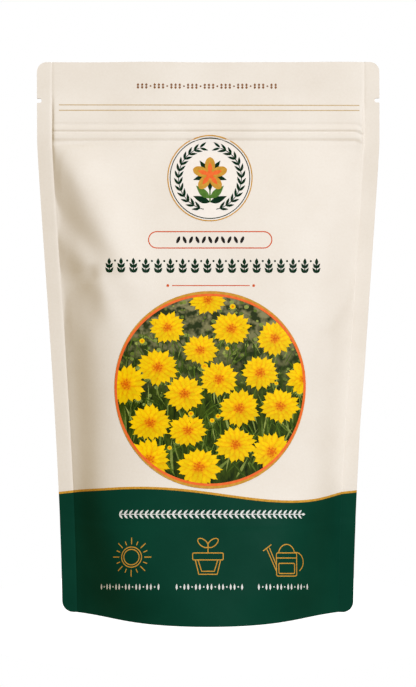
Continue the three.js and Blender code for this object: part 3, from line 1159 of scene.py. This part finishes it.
@dataclass
class MouthPrint:
    """What is printed above the zipper: a chain of small beads and the two tear lines."""

    chain: Place = (-32.7, 31.8)
    chain_height: float = 245.75
    pitch: float = 1.95
    bead: Place = (1.3, 1.15)
    line_ends: Place = (-69.6, 70.7)
    line_heights: tuple[Place, ...] = ((236.9, 236.6), (234.3, 234.2))
    line_width: float = 0.45

    def build(self, face: FilmFace, inks: Inks) -> None:
        """Prints the chain and the lines on a film."""
        chain = Stencil()
        count = round((self.chain[1] - self.chain[0]) / self.pitch)
        for i in range(count + 1):
            u = self.chain[0] + self.pitch * i
            if i % 4 == 3:
                chain.band((u, self.chain_height), 0, 0.42, segments=10)
                continue
            for up in (-1, 1):
                chain.blade((u, self.chain_height), up * UPWARD, *self.bead, Outline.LEAF, cells=(4, 2))
        chain.press("mouth_chain", face, inks.brown)
        lines = Stencil()
        for heights in self.line_heights:
            lines.ribbon(list(zip(self.line_ends, heights)), self.line_width)
        lines.press("tear_lines", face, inks.tan)


@dataclass
class Emblem:
    """A round badge: a gold ring, a leaf wreath and a plain five-petalled blossom."""

    centre: Place = (0.93, 202.1)
    radius: float = 19.9
    squash: float = 1.03
    ring: float = 0.5
    wreath: float = 14.7
    leaves: int = 13
    leaf: Place = (3.9, 1.2)
    petals: int = 5
    petal: Place = (7.4, 4.7)
    inner_petal: Place = (5.0, 2.1)
    sepal: Place = (8.2, 2.7)
    foot_drop: float = 11.4
    heart_rise: float = 1.6

    def build(self, face: FilmFace, inks: Inks) -> None:
        """Prints the badge on a film."""
        disc = Stencil()
        disc.band(self.centre, 0, self.radius, squash=self.squash)
        disc.press("badge_disc", face, inks.ivory)
        ring = Stencil()
        ring.band(self.centre, self.radius - self.ring, self.radius, 0.16, self.squash, segments=120)
        ring.press("badge_ring", face, inks.gold)
        line = Stencil()
        line.band(self.centre, self.radius - 1.5, self.radius - 1.1, 0.15, self.squash, segments=120)
        line.press("badge_line", face, inks.green)
        wreath = Stencil()
        for side in (-1, 1):
            for i in range(self.leaves):
                bearing = -UPWARD + side * (0.32 + 2.5 * i / (self.leaves - 1))
                for lean in (0.5, -0.5):
                    root = self._at(bearing, self.wreath + lean * 0.3)
                    angle = bearing + side * (math.pi / 2 - lean)
                    wreath.blade(root, angle, *self.leaf, Outline.LEAF, 0.12, cells=(6, 2), bow=0.1 * side)
            start, end = -UPWARD + side * 0.2, -UPWARD + side * 2.8
            wreath.ribbon(circle_path(self.centre, self.wreath, start, end, self.squash), 0.35, 0.12)
        wreath.press("badge_wreath", face, inks.green)
        self._blossom(face, inks)

    def _at(self, bearing: float, radius: float) -> Place:
        """A place at a bearing and distance from the badge's centre."""
        return (
            self.centre[0] + radius * math.cos(bearing),
            self.centre[1] + radius * self.squash * math.sin(bearing),
        )

    def _blossom(self, face: FilmFace, inks: Inks) -> None:
        """Prints the blossom on its stalk: sepals, petals and inner petals, over two pairs of leaves."""
        foot = (self.centre[0], self.centre[1] - self.foot_drop)
        heart = (self.centre[0], self.centre[1] + self.heart_rise)
        joint = (foot[0], foot[1] + 1.8)
        stalk, green, petals, middle = Stencil(), Stencil(), Stencil(), Stencil()
        stalk.ribbon([foot, heart], 0.7, 0.03)
        for side in (-1, 1):
            for drawing, root, lean, size, step in (
                (stalk, joint, 0.95, (8.6, 3.4), 0.03),
                (green, foot, 1.35, (8.2, 3.0), 0.02),
            ):
                angle = UPWARD - side * lean
                drawing.blade(root, angle, *size, Outline.LEAF, step, bow=0.12 * side, cells=(12, 4))
        for i in range(self.petals):
            bearing = UPWARD + TURN * i / self.petals
            root = (heart[0] + 0.9 * math.cos(bearing), heart[1] + 0.9 * math.sin(bearing))
            between = bearing + math.pi / self.petals
            petals.blade(root, bearing, *self.petal, Outline.SEED, 0.05 + 0.006 * i, cells=(14, 4))
            middle.blade(root, bearing, *self.inner_petal, Outline.LEAF, 0.09, cells=(8, 2))
            green.blade(heart, between, *self.sepal, Outline.LEAF, 0.04, cells=(8, 2))
        middle.band(heart, 0, 1.8, 0.1, segments=24)
        stalk.press("badge_stalk", face, inks.leaf)
        green.press("badge_leaves", face, inks.green)
        petals.press("badge_petals", face, inks.gold)
        middle.press("badge_blossom_middle", face, inks.orange)


@dataclass
class TitlePrint:
    """The prints between the badge and the picture: a pill of seeds, a sprig band and a divider."""

    pill: Place = (1.05, 173.0)
    pill_half: Place = (28.95, 3.8)
    seeds: int = 11
    seed_pitch: float = 3.0
    seed_size: Place = (3.5, 1.45)
    seed_lean: float = 0.42
    band: Place = (-49.5, 54.7)
    band_height: float = 160.95
    sprigs: int = 18
    sprig_leaves: tuple[Place, ...] = ((0.1, 3.0), (2.3, 2.7))
    divider: Place = (-16.9, 19.6)
    divider_height: float = 151.87

    def build(self, face: FilmFace, inks: Inks) -> None:
        """Prints the three rows on a film."""
        outline = Stencil()
        outline.ribbon(rounded_box(self.pill, *self.pill_half, self.pill_half[1] - 0.02), 0.5)
        outline.press("pill_outline", face, inks.red)
        seeds = Stencil()
        half = self.seed_size[0] / 2
        for i in range(self.seeds):
            u = self.pill[0] + (i - self.seeds // 2) * self.seed_pitch
            lean = UPWARD + (self.seed_lean if i % 2 else -self.seed_lean)
            root = (u - half * math.cos(lean), self.pill[1] - half * math.sin(lean))
            seeds.blade(root, lean, *self.seed_size, Outline.SEED, cells=(8, 2))
        seeds.press("pill_seeds", face, inks.black)
        self._sprigs(face, inks)
        divider = Stencil()
        (left, right), height = self.divider, self.divider_height
        divider.ribbon([(left, height), (right, height)], 0.42)
        for u in (left - 2.0, right + 1.9):
            divider.band((u, height), 0, 0.65, segments=16)
        divider.press("divider", face, inks.red)

    def _sprigs(self, face: FilmFace, inks: Inks) -> None:
        """Prints a row of leafy sprigs with buds between them."""
        sprigs = Stencil()
        left, right = self.band
        pitch = (right - left) / self.sprigs
        for i in range(self.sprigs):
            u = left + pitch * (i + 0.5)
            foot = (u, self.band_height - 3.3)
            sprigs.ribbon([foot, (u, self.band_height + 1.2)], 0.55)
            sprigs.blade((u, self.band_height + 0.4), UPWARD, 3.1, 1.7, Outline.LEAF)
            for side in (-1, 1):
                for rise, length in self.sprig_leaves:
                    root, angle = (u, foot[1] + rise), UPWARD - side * 0.9
                    sprigs.blade(root, angle, length, 1.4, Outline.LEAF, 0.004, bow=0.2 * side)
            if i:
                sprigs.band((u - pitch / 2, self.band_height + 2.2), 0, 0.5, segments=14)
        sprigs.press("title_sprigs", face, inks.green)


@dataclass
class GardenPicture:
    """A round picture of a flower bed, with blooms set out on a golden-angle spiral."""

    centre: Place = (1.2, 104.6)
    radius: float = 45.8
    squash: float = 0.937
    ring: float = 0.95
    blooms: int = 19
    spread: float = 10.75
    petal_rings: tuple[tuple[int, float, float], ...] = ((19, 1.0, 0.33), (15, 0.8, 0.28), (11, 0.56, 0.22))
    florets: int = 13
    blades: int = 560
    motes: int = 330
    buds: int = 26
    seed: int = 11

    def __post_init__(self) -> None:
        """Starts the random draws that set out the planting."""
        self.draw = random.Random(self.seed)

    def build(self, face: FilmFace, inks: Inks) -> None:
        """Prints the picture and its rings on a film."""
        ground = Stencil()
        ground.band(self.centre, 0, self.radius - 0.2, squash=self.squash, segments=128)
        ground.press("picture_ground", face, GroundInk().make())
        foliage_ink = FoliageInk().make()
        buds = self._bud_places()
        self._motes().press("picture_motes", face, foliage_ink)
        self._foliage(buds).press("picture_foliage", face, foliage_ink)
        blooms, hearts = self._blooms(buds)
        yellow = PetalInk("picture_petal_ink", srgb(232, 112, 4), srgb(250, 178, 3), srgb(255, 214, 6))
        blooms.press("picture_blooms", face, yellow.make())
        amber = PetalInk("picture_heart_ink", srgb(196, 84, 10), srgb(232, 128, 12), srgb(250, 172, 16))
        hearts.press("picture_hearts", face, amber.make())
        for name, inner, outer, step, squash, ink in (
            ("picture_ring", -0.55, self.ring - 0.35, 0.27, self.squash, inks.orange),
            ("picture_rim", -0.6, 0.72, 0.25, self.squash * 1.026, inks.gold),
        ):
            ring = Stencil()
            ring.band(self.centre, self.radius + inner, self.radius + outer, step, squash, segments=140)
            ring.press(name, face, ink)

    def _at(self, x: float, y: float) -> Place:
        """A film place from one measured off the picture's centre."""
        return (self.centre[0] + x, self.centre[1] + y * self.squash)

    def _strewn(self, share: float = 1.0) -> Place:
        """Draws a place within a share of the picture's radius, measured off its centre."""
        angle, away = self.draw.uniform(0, TURN), self.radius * math.sqrt(self.draw.random()) * share
        return (away * math.cos(angle), away * math.sin(angle))

    def _bloom_places(self) -> list[Triple]:
        """Centres and sizes of the blooms: larger towards the bottom, as if nearer."""
        places = []
        for i in range(self.blooms):
            away = self.spread * math.sqrt(i + 0.35)
            angle = GOLDEN_ANGLE * i + 0.9
            x, y = away * math.cos(angle), away * math.sin(angle)
            near = clamp((self.radius - y) / (2 * self.radius))
            places.append((x, y, 8.7 + 2.2 * near + self.draw.uniform(-0.8, 0.8)))
        return sorted(places, key=lambda place: -place[1])

    def _bud_places(self) -> list[tuple[Place, float]]:
        """Places and sizes of the round buds between the blooms."""
        return [(self._at(*self._strewn(0.95)), self.draw.uniform(0.9, 1.9)) for _ in range(self.buds)]

    def _blooms(self, buds: Sequence[tuple[Place, float]]) -> tuple[Stencil, Stencil]:
        """Draws the blooms, three rings of toothed petals round a heart of small florets, and the buds."""
        petals, hearts = Stencil(), Stencil()
        for spot, size in buds:
            petals.band(spot, 0, size, 0.08, 0.88, 0.93, segments=14)
        for row, (x, y, size) in enumerate(self._bloom_places()):
            middle = self._at(x, y)
            tilt = self.draw.uniform(0.78, 0.9)
            base = 0.09 + 0.006 * row
            start = self.draw.uniform(0, TURN)
            for layer, (count, reach, width) in enumerate(self.petal_rings):
                for i in range(count):
                    bearing = start + TURN * (i + 0.5 * layer) / count + self.draw.uniform(-0.07, 0.07)
                    length = size * reach * self.draw.uniform(0.9, 1.06)
                    light = 0.95 + 0.06 * math.sin(bearing) + self.draw.uniform(-0.08, 0.06)
                    petals.blade(
                        middle,
                        bearing,
                        length,
                        size * width,
                        Outline.PETAL,
                        base + 0.012 * layer + 0.005 * (i % 2),
                        clamp(light, 0.7, 1.04),
                        self.draw.uniform(-0.07, 0.07),
                        0.13,
                        tilt,
                    )
            floret = (0.14 * size, 0.1 * size)
            for i in range(self.florets):
                bearing = start + GOLDEN_ANGLE * i
                away = 0.055 * size * math.sqrt(i)
                root = (middle[0] + away * math.cos(bearing), middle[1] + away * math.sin(bearing) * tilt)
                hearts.blade(root, bearing, *floret, Outline.LEAF, base + 0.045, squash=tilt, cells=(3, 2))
        for drawing in (petals, hearts):
            drawing.clip(self.centre, self.radius, self.squash)
        return petals, hearts

    def _foliage(self, buds: Sequence[tuple[Place, float]]) -> Stencil:
        """Draws stems and narrow leaves, broader towards the bottom, and the buds' sepals."""
        drawing = Stencil()
        for i in range(self.blades):
            x = self.draw.uniform(-1, 1) * self.radius
            y = self.draw.uniform(-1, 0.55) * self.radius
            if math.hypot(x, y) > self.radius + 3:
                continue
            near = clamp((self.radius * 0.6 - y) / (1.6 * self.radius))
            length = self.draw.uniform(5, 9) + 9 * near * near
            width = self.draw.uniform(0.3, 0.7) + 1.5 * near**3 * self.draw.random()
            drawing.blade(
                self._at(x, y),
                UPWARD + self.draw.gauss(0, 0.5),
                length,
                width,
                Outline.LEAF,
                0.02 + 0.0001 * i,
                clamp(self.draw.gauss(0.42, 0.28), 0.02, 0.95),
                self.draw.uniform(-0.2, 0.2),
                cells=(8, 2),
            )
        for spot, size in buds:
            for sepal in range(6):
                bearing = -UPWARD + (sepal - 2.5) * 0.42
                drawing.blade(spot, bearing, size * 1.9, size * 0.4, Outline.LEAF, 0.07, 0.8, cells=(4, 2))
        drawing.clip(self.centre, self.radius, self.squash)
        return drawing

    def _motes(self) -> Stencil:
        """Draws the out-of-focus leaves and buds of the far planting."""
        drawing = Stencil()
        for i in range(self.motes):
            x, y = self._strewn()
            if y < -8:
                continue
            size = self.draw.uniform(0.35, 1.15)
            tone = clamp(self.draw.gauss(0.6, 0.25), 0.1, 1.0)
            drawing.band(self._at(x, y), 0, size, 0.004 + 0.00008 * i, 0.8, tone, segments=9)
        drawing.clip(self.centre, self.radius, self.squash)
        return drawing


@dataclass
class BandPrint:
    """What is printed on the green band: a white vine, three line drawings and their beads."""

    row: Place = (-43.2, 47.9)
    row_height: float = 48.7
    leaf_pairs: int = 34
    leaf: Place = (2.7, 0.95)
    sun: Place = (-36.4, 30.2)
    sun_squash: float = 0.84
    pot: Place = (0.0, 31.05)
    can: Place = (36.2, 29.6)
    line: float = 0.42
    bead_height: float = 17.3
    bead_pitch: float = 1.8
    bead: Place = (2.7, 0.95)
    bead_rows: tuple[Place, ...] = ((-53.8, -22.7), (-14.2, 15.6), (23.5, 49.5))

    def build(self, face: FilmFace, inks: Inks) -> None:
        """Prints the whole band on a film."""
        self._ornaments(face, inks)
        for name, draw in (("sun", self._sun), ("flowerpot", self._flowerpot), ("watering_can", self._can)):
            drawing = Stencil()
            draw(drawing)
            drawing.press(f"line_drawing_{name}", face, inks.gold)
        beads = Stencil()
        for start, end in self.bead_rows:
            count = round((end - start) / self.bead_pitch)
            for i in range(count + 1):
                u = start + (end - start) * i / count
                if i % 3 == 1:
                    beads.band((u, self.bead_height), 0, 0.36, segments=10)
                    continue
                foot = (u, self.bead_height - self.bead[0] / 2)
                beads.blade(foot, UPWARD, *self.bead, Outline.LEAF, cells=(4, 2))
        beads.press("band_beads", face, inks.white)

    def _ornaments(self, face: FilmFace, inks: Inks) -> None:
        """Prints the vine: a thin stem with pairs of leaves and a bud at its tip."""
        row = Stencil()
        (start, end), height = self.row, self.row_height
        row.ribbon([(start, height), (end - 1.0, height)], 0.3)
        for i in range(self.leaf_pairs):
            root = (start + (end - start - 3.5) * i / (self.leaf_pairs - 1), height)
            for side in (-1, 1):
                bow = -0.12 * side
                row.blade(root, side * 0.9, *self.leaf, Outline.LEAF, 0.004, bow=bow, cells=(6, 2))
        row.blade((end - 1.6, height), 0, 2.0, 1.1, Outline.LEAF, 0.004, cells=(6, 2))
        row.press("band_ornaments", face, inks.white)

    def _sun(self, drawing: Stencil) -> None:
        """Draws a sun: a double circle in a ring of rays, which the curved film shows round."""
        for radius in (5.2, 4.0):
            drawing.ribbon(circle_path(self.sun, radius, squash=self.sun_squash), self.line)
        for i in range(16):
            bearing = TURN * i / 16
            ends = (6.6, 8.6 if i % 2 else 10.0)
            ray = [circle_path(self.sun, end, bearing, bearing, self.sun_squash)[0] for end in ends]
            drawing.ribbon(ray, self.line)

    def _flowerpot(self, drawing: Stencil) -> None:
        """Draws a flowerpot with a rim, an inner line and a two-leaved seedling."""
        u, height = self.pot
        drawing.ribbon(rounded_box((u, height - 0.6), 7.0, 1.5, 0.5), self.line)
        for inset in (0.0, 1.3):
            half = [(u - 5.8 + inset, height - 2.1), (u - 4.2 + inset, height - 8.3 + inset)]
            drawing.ribbon(mirrored(half, u), self.line)
        drawing.ribbon([(u, height + 0.9), (u, height + 5.2)], self.line)
        for side in (-1, 1):
            drawing.ribbon(leaf_path((u, height + 3.6), UPWARD - side * 0.95, 5.6, 2.9), self.line)

    def _can(self, drawing: Stencil) -> None:
        """Draws a watering can with its spout, rose and handle."""
        u, height = self.can
        drawing.ribbon(rounded_box((u + 1.6, height - 2.6), 5.4, 5.0, 0.8), self.line)
        drawing.ribbon(rounded_box((u + 1.6, height - 4.3), 4.2, 2.2, 0.5), self.line)
        drawing.ribbon([(u - 3.8, height + 0.2), (u + 7.0, height + 0.2)], self.line)
        drawing.ribbon([(u - 3.8, height - 5.6), (u - 8.6, height + 4.2)], self.line)
        drawing.ribbon([(u - 3.8, height - 3.0), (u - 7.2, height + 4.6)], self.line)
        drawing.ribbon([(u - 10.4, height + 3.2), (u - 6.2, height + 6.0)], self.line)
        drawing.ribbon(circle_path((u + 6.6, height - 1.6), 4.2, -1.1, 1.75), self.line)
        drawing.ribbon(circle_path((u + 1.6, height + 1.9), 4.2, 0.15, math.pi - 0.15), self.line)


def leaf_path(root: Place, angle: float, length: float, width: float) -> list[Place]:
    """Closed outline of a leaf.

    Args:
        root: Where the leaf starts.
        angle: The direction that it grows in.
        length, width: Its size.

    Returns:
        The outline's points, which end where they start.
    """
    across, up = math.cos(angle), math.sin(angle)
    path = []
    for i in range(25):
        turn = TURN * i / 24
        along, aside = length * (1 - math.cos(turn)) / 2, width / 2 * math.sin(turn)
        path.append((root[0] + along * across - aside * up, root[1] + along * up + aside * across))
    return path


@dataclass
class BackPrint:
    """What is printed on the back: a framed note area with ruled lines under a small sprig."""

    centre: Place = (0.0, 135.0)
    half: Place = (50.0, 58.0)
    rules: int = 9
    rule_half: float = 42.0
    rule_pitch: float = 9.2
    rules_drop: float = 32
    sprig_drop: float = 19

    def build(self, face: FilmFace, inks: Inks) -> None:
        """Prints the note area on the back film."""
        frame_lines = Stencil()
        frame_lines.ribbon(rounded_box(self.centre, *self.half, 5.0), 0.55)
        frame_lines.ribbon(rounded_box(self.centre, self.half[0] - 1.6, self.half[1] - 1.6, 3.6), 0.3)
        frame_lines.press("note_frame", face, inks.gold)
        rules = Stencil()
        top = self.centre[1] + self.half[1]
        for i in range(self.rules):
            height = top - self.rules_drop - self.rule_pitch * i
            rules.ribbon([(-self.rule_half, height), (self.rule_half, height)], 0.3)
        rules.press("note_rules", face, inks.brown)
        sprig = Stencil()
        stem = top - self.sprig_drop
        for side in (-1, 1):
            sprig.ribbon([(0.0, stem), (side * 16.0, stem)], 0.5)
            for i in range(5):
                root = (side * (2.2 + 3.2 * i), stem)
                for lean in (-0.75, 0.75):
                    angle = UPWARD - side * UPWARD + lean
                    sprig.blade(root, angle, 4.6, 1.7, Outline.LEAF, 0.004)
        sprig.press("note_sprig", face, inks.green)


# --- filling and zipper ----------------------------------------------------------------------------


@dataclass
class SeedHeap:
    """The settled seed, kept inside the folded films, with loose seed on its top."""

    front: FilmFace
    back: FilmFace
    margin: float = 0.7
    loose: int = 620
    level: float = 132.0
    mound: float = 7.0
    end: float = 62.0
    seed: int = 5

    def build(self, coat: Material) -> None:
        """Makes the heap from the CAD filling's form and scatters the loose seed."""
        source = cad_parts["seed_fill"]
        mesh = bmesh.new()
        mesh.from_mesh(source.data)
        bmesh.ops.scale(mesh, vec=(1 / MM, 1 / MM, 1 / MM), verts=mesh.verts)
        bmesh.ops.remove_doubles(mesh, verts=mesh.verts, dist=0.002)
        for vertex in mesh.verts:
            self._keep_inside(vertex.co)
        finish_mesh("seed_heap", mesh, [coat], replaces=["seed_fill"])
        self._scatter(coat)

    def _keep_inside(self, place: Vector) -> None:
        """Pulls a place in where a fold of the film would cut it."""
        u = FORM.film_place(place.x, place.z)
        face, turned = (self.front, u) if place.y < 0 else (self.back, -u)
        room = max(face.inflated(turned, place.z) - self.margin, 0.0)
        place.y = math.copysign(min(abs(place.y), room), place.y)

    def _scatter(self, coat: Material) -> None:
        """Strews loose seed over the heap's top."""
        draw = random.Random(self.seed)
        single = bmesh.new()
        bmesh.ops.create_uvsphere(single, u_segments=8, v_segments=5, radius=1)
        pattern = bpy.data.meshes.new("single_seed")
        single.to_mesh(pattern)
        single.free()
        mesh = bmesh.new()
        for _ in range(self.loose):
            u = draw.uniform(-self.end, self.end)
            share = draw.uniform(-0.92, 0.92)
            top = self.level + self.mound * hill(u + 12, 34) * (1 - 0.6 * share**2)
            face, turned = (self.front, u) if share < 0 else (self.back, -u)
            room = face.inflated(turned, top) - 2.6
            if room < 1:
                continue
            middle = Vector((FORM.across(u, top), share * room, top + draw.uniform(0.1, 0.9)))
            turn = Matrix.Rotation(draw.uniform(0, TURN), 4, "Z")
            lean = Matrix.Rotation(draw.gauss(0, 0.35), 4, "X")
            shape = Matrix.Diagonal((draw.uniform(1.6, 2.1), 1.15, 0.55, 1))
            place = Matrix.Translation(middle) @ (turn @ lean) @ shape
            pattern.transform(place)
            mesh.from_mesh(pattern)
            pattern.transform(place.inverted())
        bpy.data.meshes.remove(pattern)
        finish_mesh("loose_seed", mesh, [coat])


# --- studio ----------------------------------------------------------------------------------------


@dataclass(frozen=True)
class Camera:
    """A level camera straight in front of the pouch."""

    distance: float = 640.0
    height: float = 125.45
    frame_height: float = 321.4
    sensor: float = 24.0

    def place(self) -> None:
        """Makes the camera and sets it as the scene's."""
        data = bpy.data.cameras.new("camera")
        data.sensor_fit = "VERTICAL"
        data.sensor_height = self.sensor
        data.lens = self.sensor * self.distance / self.frame_height
        data.clip_start, data.clip_end = 0.01, 20
        camera = bpy.data.objects.new("camera", data)
        camera.location = (0, -self.distance * MM, self.height * MM)
        camera.rotation_euler = (math.pi / 2, 0, 0)
        bpy.context.scene.collection.objects.link(camera)
        bpy.context.scene.camera = camera


@dataclass(frozen=True)
class SoftLight:
    """A square studio light aimed at the pouch; lengths in metres, power in watts."""

    name: str
    place: Triple
    size: float
    power: float
    colour: Triple = (1.0, 1.0, 1.0)
    aim: Triple = (0.0, 0.0, 0.12)

    def hang(self) -> None:
        """Makes the light and turns it to its aim."""
        data = bpy.data.lights.new(self.name, "AREA")
        data.shape, data.size, data.energy, data.color = "SQUARE", self.size, self.power, self.colour
        light = bpy.data.objects.new(self.name, data)
        light.location = self.place
        light.rotation_euler = (Vector(self.aim) - Vector(self.place)).to_track_quat("-Z", "Y").to_euler()
        bpy.context.scene.collection.objects.link(light)


@dataclass
class Studio:
    """The floor, the lights and the white surround."""

    floor_radius: float = 0.12
    fill: float = 0.35
    fill_colour: Colour = (1.0, 0.73, 0.31, 1.0)
    lights: tuple[SoftLight, ...] = (
        SoftLight("key", (0.667, -1.831, 0.57), 0.75, 36.3, (0.756, 0.835, 1.0)),
        SoftLight("top_light", (0.0, -0.05, 1.25), 0.5, 1.3, (1.0, 0.97, 0.9)),
        SoftLight("back_light", (-0.3, 1.1, 0.9), 0.8, 15.0, (0.76, 0.84, 1.0)),
    )

    def build(self) -> None:
        """Sets up everything around the pouch except the camera."""
        self._floor()
        for light in self.lights:
            light.hang()
        self._surround()
        view = bpy.context.scene.view_settings
        view.view_transform = "Standard"
        view.look = "None"

    def _floor(self) -> None:
        """Lays a round, pale floor under the pouch, which throws no light back at it."""
        mesh = bmesh.new()
        bmesh.ops.create_circle(mesh, cap_ends=True, segments=96, radius=self.floor_radius)
        data = bpy.data.meshes.new("floor")
        mesh.to_mesh(data)
        mesh.free()
        data.materials.append(StudioFloor().make())
        floor = bpy.data.objects.new("floor", data)
        floor.visible_diffuse = floor.visible_glossy = False
        bpy.context.scene.collection.objects.link(floor)

    def _surround(self) -> None:
        """Makes the surround white to the eye and dim and warm as a light."""
        world = bpy.data.worlds.new("studio")
        world.use_nodes = True
        bpy.context.scene.world = world
        tree = world.node_tree
        seen = tree.nodes.new("ShaderNodeLightPath").outputs["Is Camera Ray"]
        dim = tree.nodes["Background"]
        dim.inputs["Color"].default_value = self.fill_colour
        dim.inputs["Strength"].default_value = self.fill
        white = tree.nodes.new("ShaderNodeBackground")
        white.inputs["Color"].default_value = (1, 1, 1, 1)
        blend = tree.nodes.new("ShaderNodeMixShader")
        tree.links.new(seen, blend.inputs[0])
        tree.links.new(dim.outputs[0], blend.inputs[1])
        tree.links.new(white.outputs[0], blend.inputs[2])
        tree.links.new(blend.outputs[0], tree.nodes["World Output"].inputs["Surface"])


FRONT_FACE = FilmFace(
    FORM,
    Side.FRONT,
    pleats=(
        # the swell under the zipper's left end, and the long fold that runs down from the weld beside it
        Pleat((-60, 202), (-40, 162), -4, (9, 10), 14),
        Pleat((-60, 210), (-53, 188), 0.5, (5, 7), 9),
        Pleat((-80, 192), (-60, 173), 1.5, (6, 6), 9),
        # the second fold, with a nook at its upper side and a sharp end
        Pleat((-66, 152), (-56, 147), 1.5, (16, 8), 8),
        Pleat((-57, 159), (-56, 156), 1.5, (7, 4), 2),
        Pleat((-61, 165), (-50, 146), -2, (7, 7), 12),
        Pleat((-49, 158), (-49, 150), -1.5, (6, 12), 6),
        # the faint fold right of the nook, the taut film below it, and a broad hollow on the right
        Pleat((-46, 157), (-34, 156), 0.5, (3, 4), 5),
        Pleat((-67, 138), (-67, 136), -1, (4, 10), 12),
        Pleat((65, 206), (52, 104), 1, (7, 16), 14),
        # the short, sharp ridge above the picture's right side
        Pleat((74, 154), (60, 134), -0.8, (4, 6), 4),
    ),
    curl=1.7,
)
BACK_FACE = FilmFace(
    FORM,
    Side.BACK,
    pleats=(
        Pleat((-71.5, 196.0), (-52.0, 172.0), 1.8, (6.0, 4.5)),
        Pleat((71.5, 180.0), (50.0, 152.0), 1.6, (6.0, 4.0)),
        Pleat((71.5, 136.0), (58.0, 112.0), 0.9, (5.0, 4.0)),
    ),
)


def main() -> None:
    """Builds the camera, the pouch and the studio."""
    logging.basicConfig(level=logging.INFO, format="%(name)s: %(message)s")
    Camera().place()
    sealant = MilkyPlastic("sealant_film", srgb(232, 228, 220), srgb(222, 218, 208), 0.35, 0.0).make()
    film = PrintedFilm()
    front_print = film.make("printed_film_front", 1)
    back_print = film.make("printed_film_back", -1)
    FilmPanel(FRONT_FACE, 1.15, 0.34).build("front_film", front_print, sealant, "front_panel")
    FilmPanel(BACK_FACE, 1.7, 0.5).build("back_film", back_print, sealant, "back_panel")
    gusset_ink = Ink("gusset_green", film.green, film.green_shade, 0.52).make()
    BaseGusset(FRONT_FACE, BACK_FACE).build(gusset_ink, sealant)
    zipper = MilkyPlastic("zipper_plastic", srgb(236, 236, 230), srgb(226, 226, 218), 0.28, 0.35).make()
    for node in ("zipper_groove_strip", "zipper_rib_strip"):
        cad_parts[node].data.materials.clear()
        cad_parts[node].data.materials.append(zipper)
    SeedHeap(FRONT_FACE, BACK_FACE).build(SeedCoat().make())
    inks = Inks()
    MouthPrint().build(FRONT_FACE, inks)
    Emblem().build(FRONT_FACE, inks)
    TitlePrint().build(FRONT_FACE, inks)
    GardenPicture().build(FRONT_FACE, inks)
    BandPrint().build(FRONT_FACE, inks)
    BackPrint().build(BACK_FACE, inks)
    Studio().build()


if __name__ == "__main__":
    main()
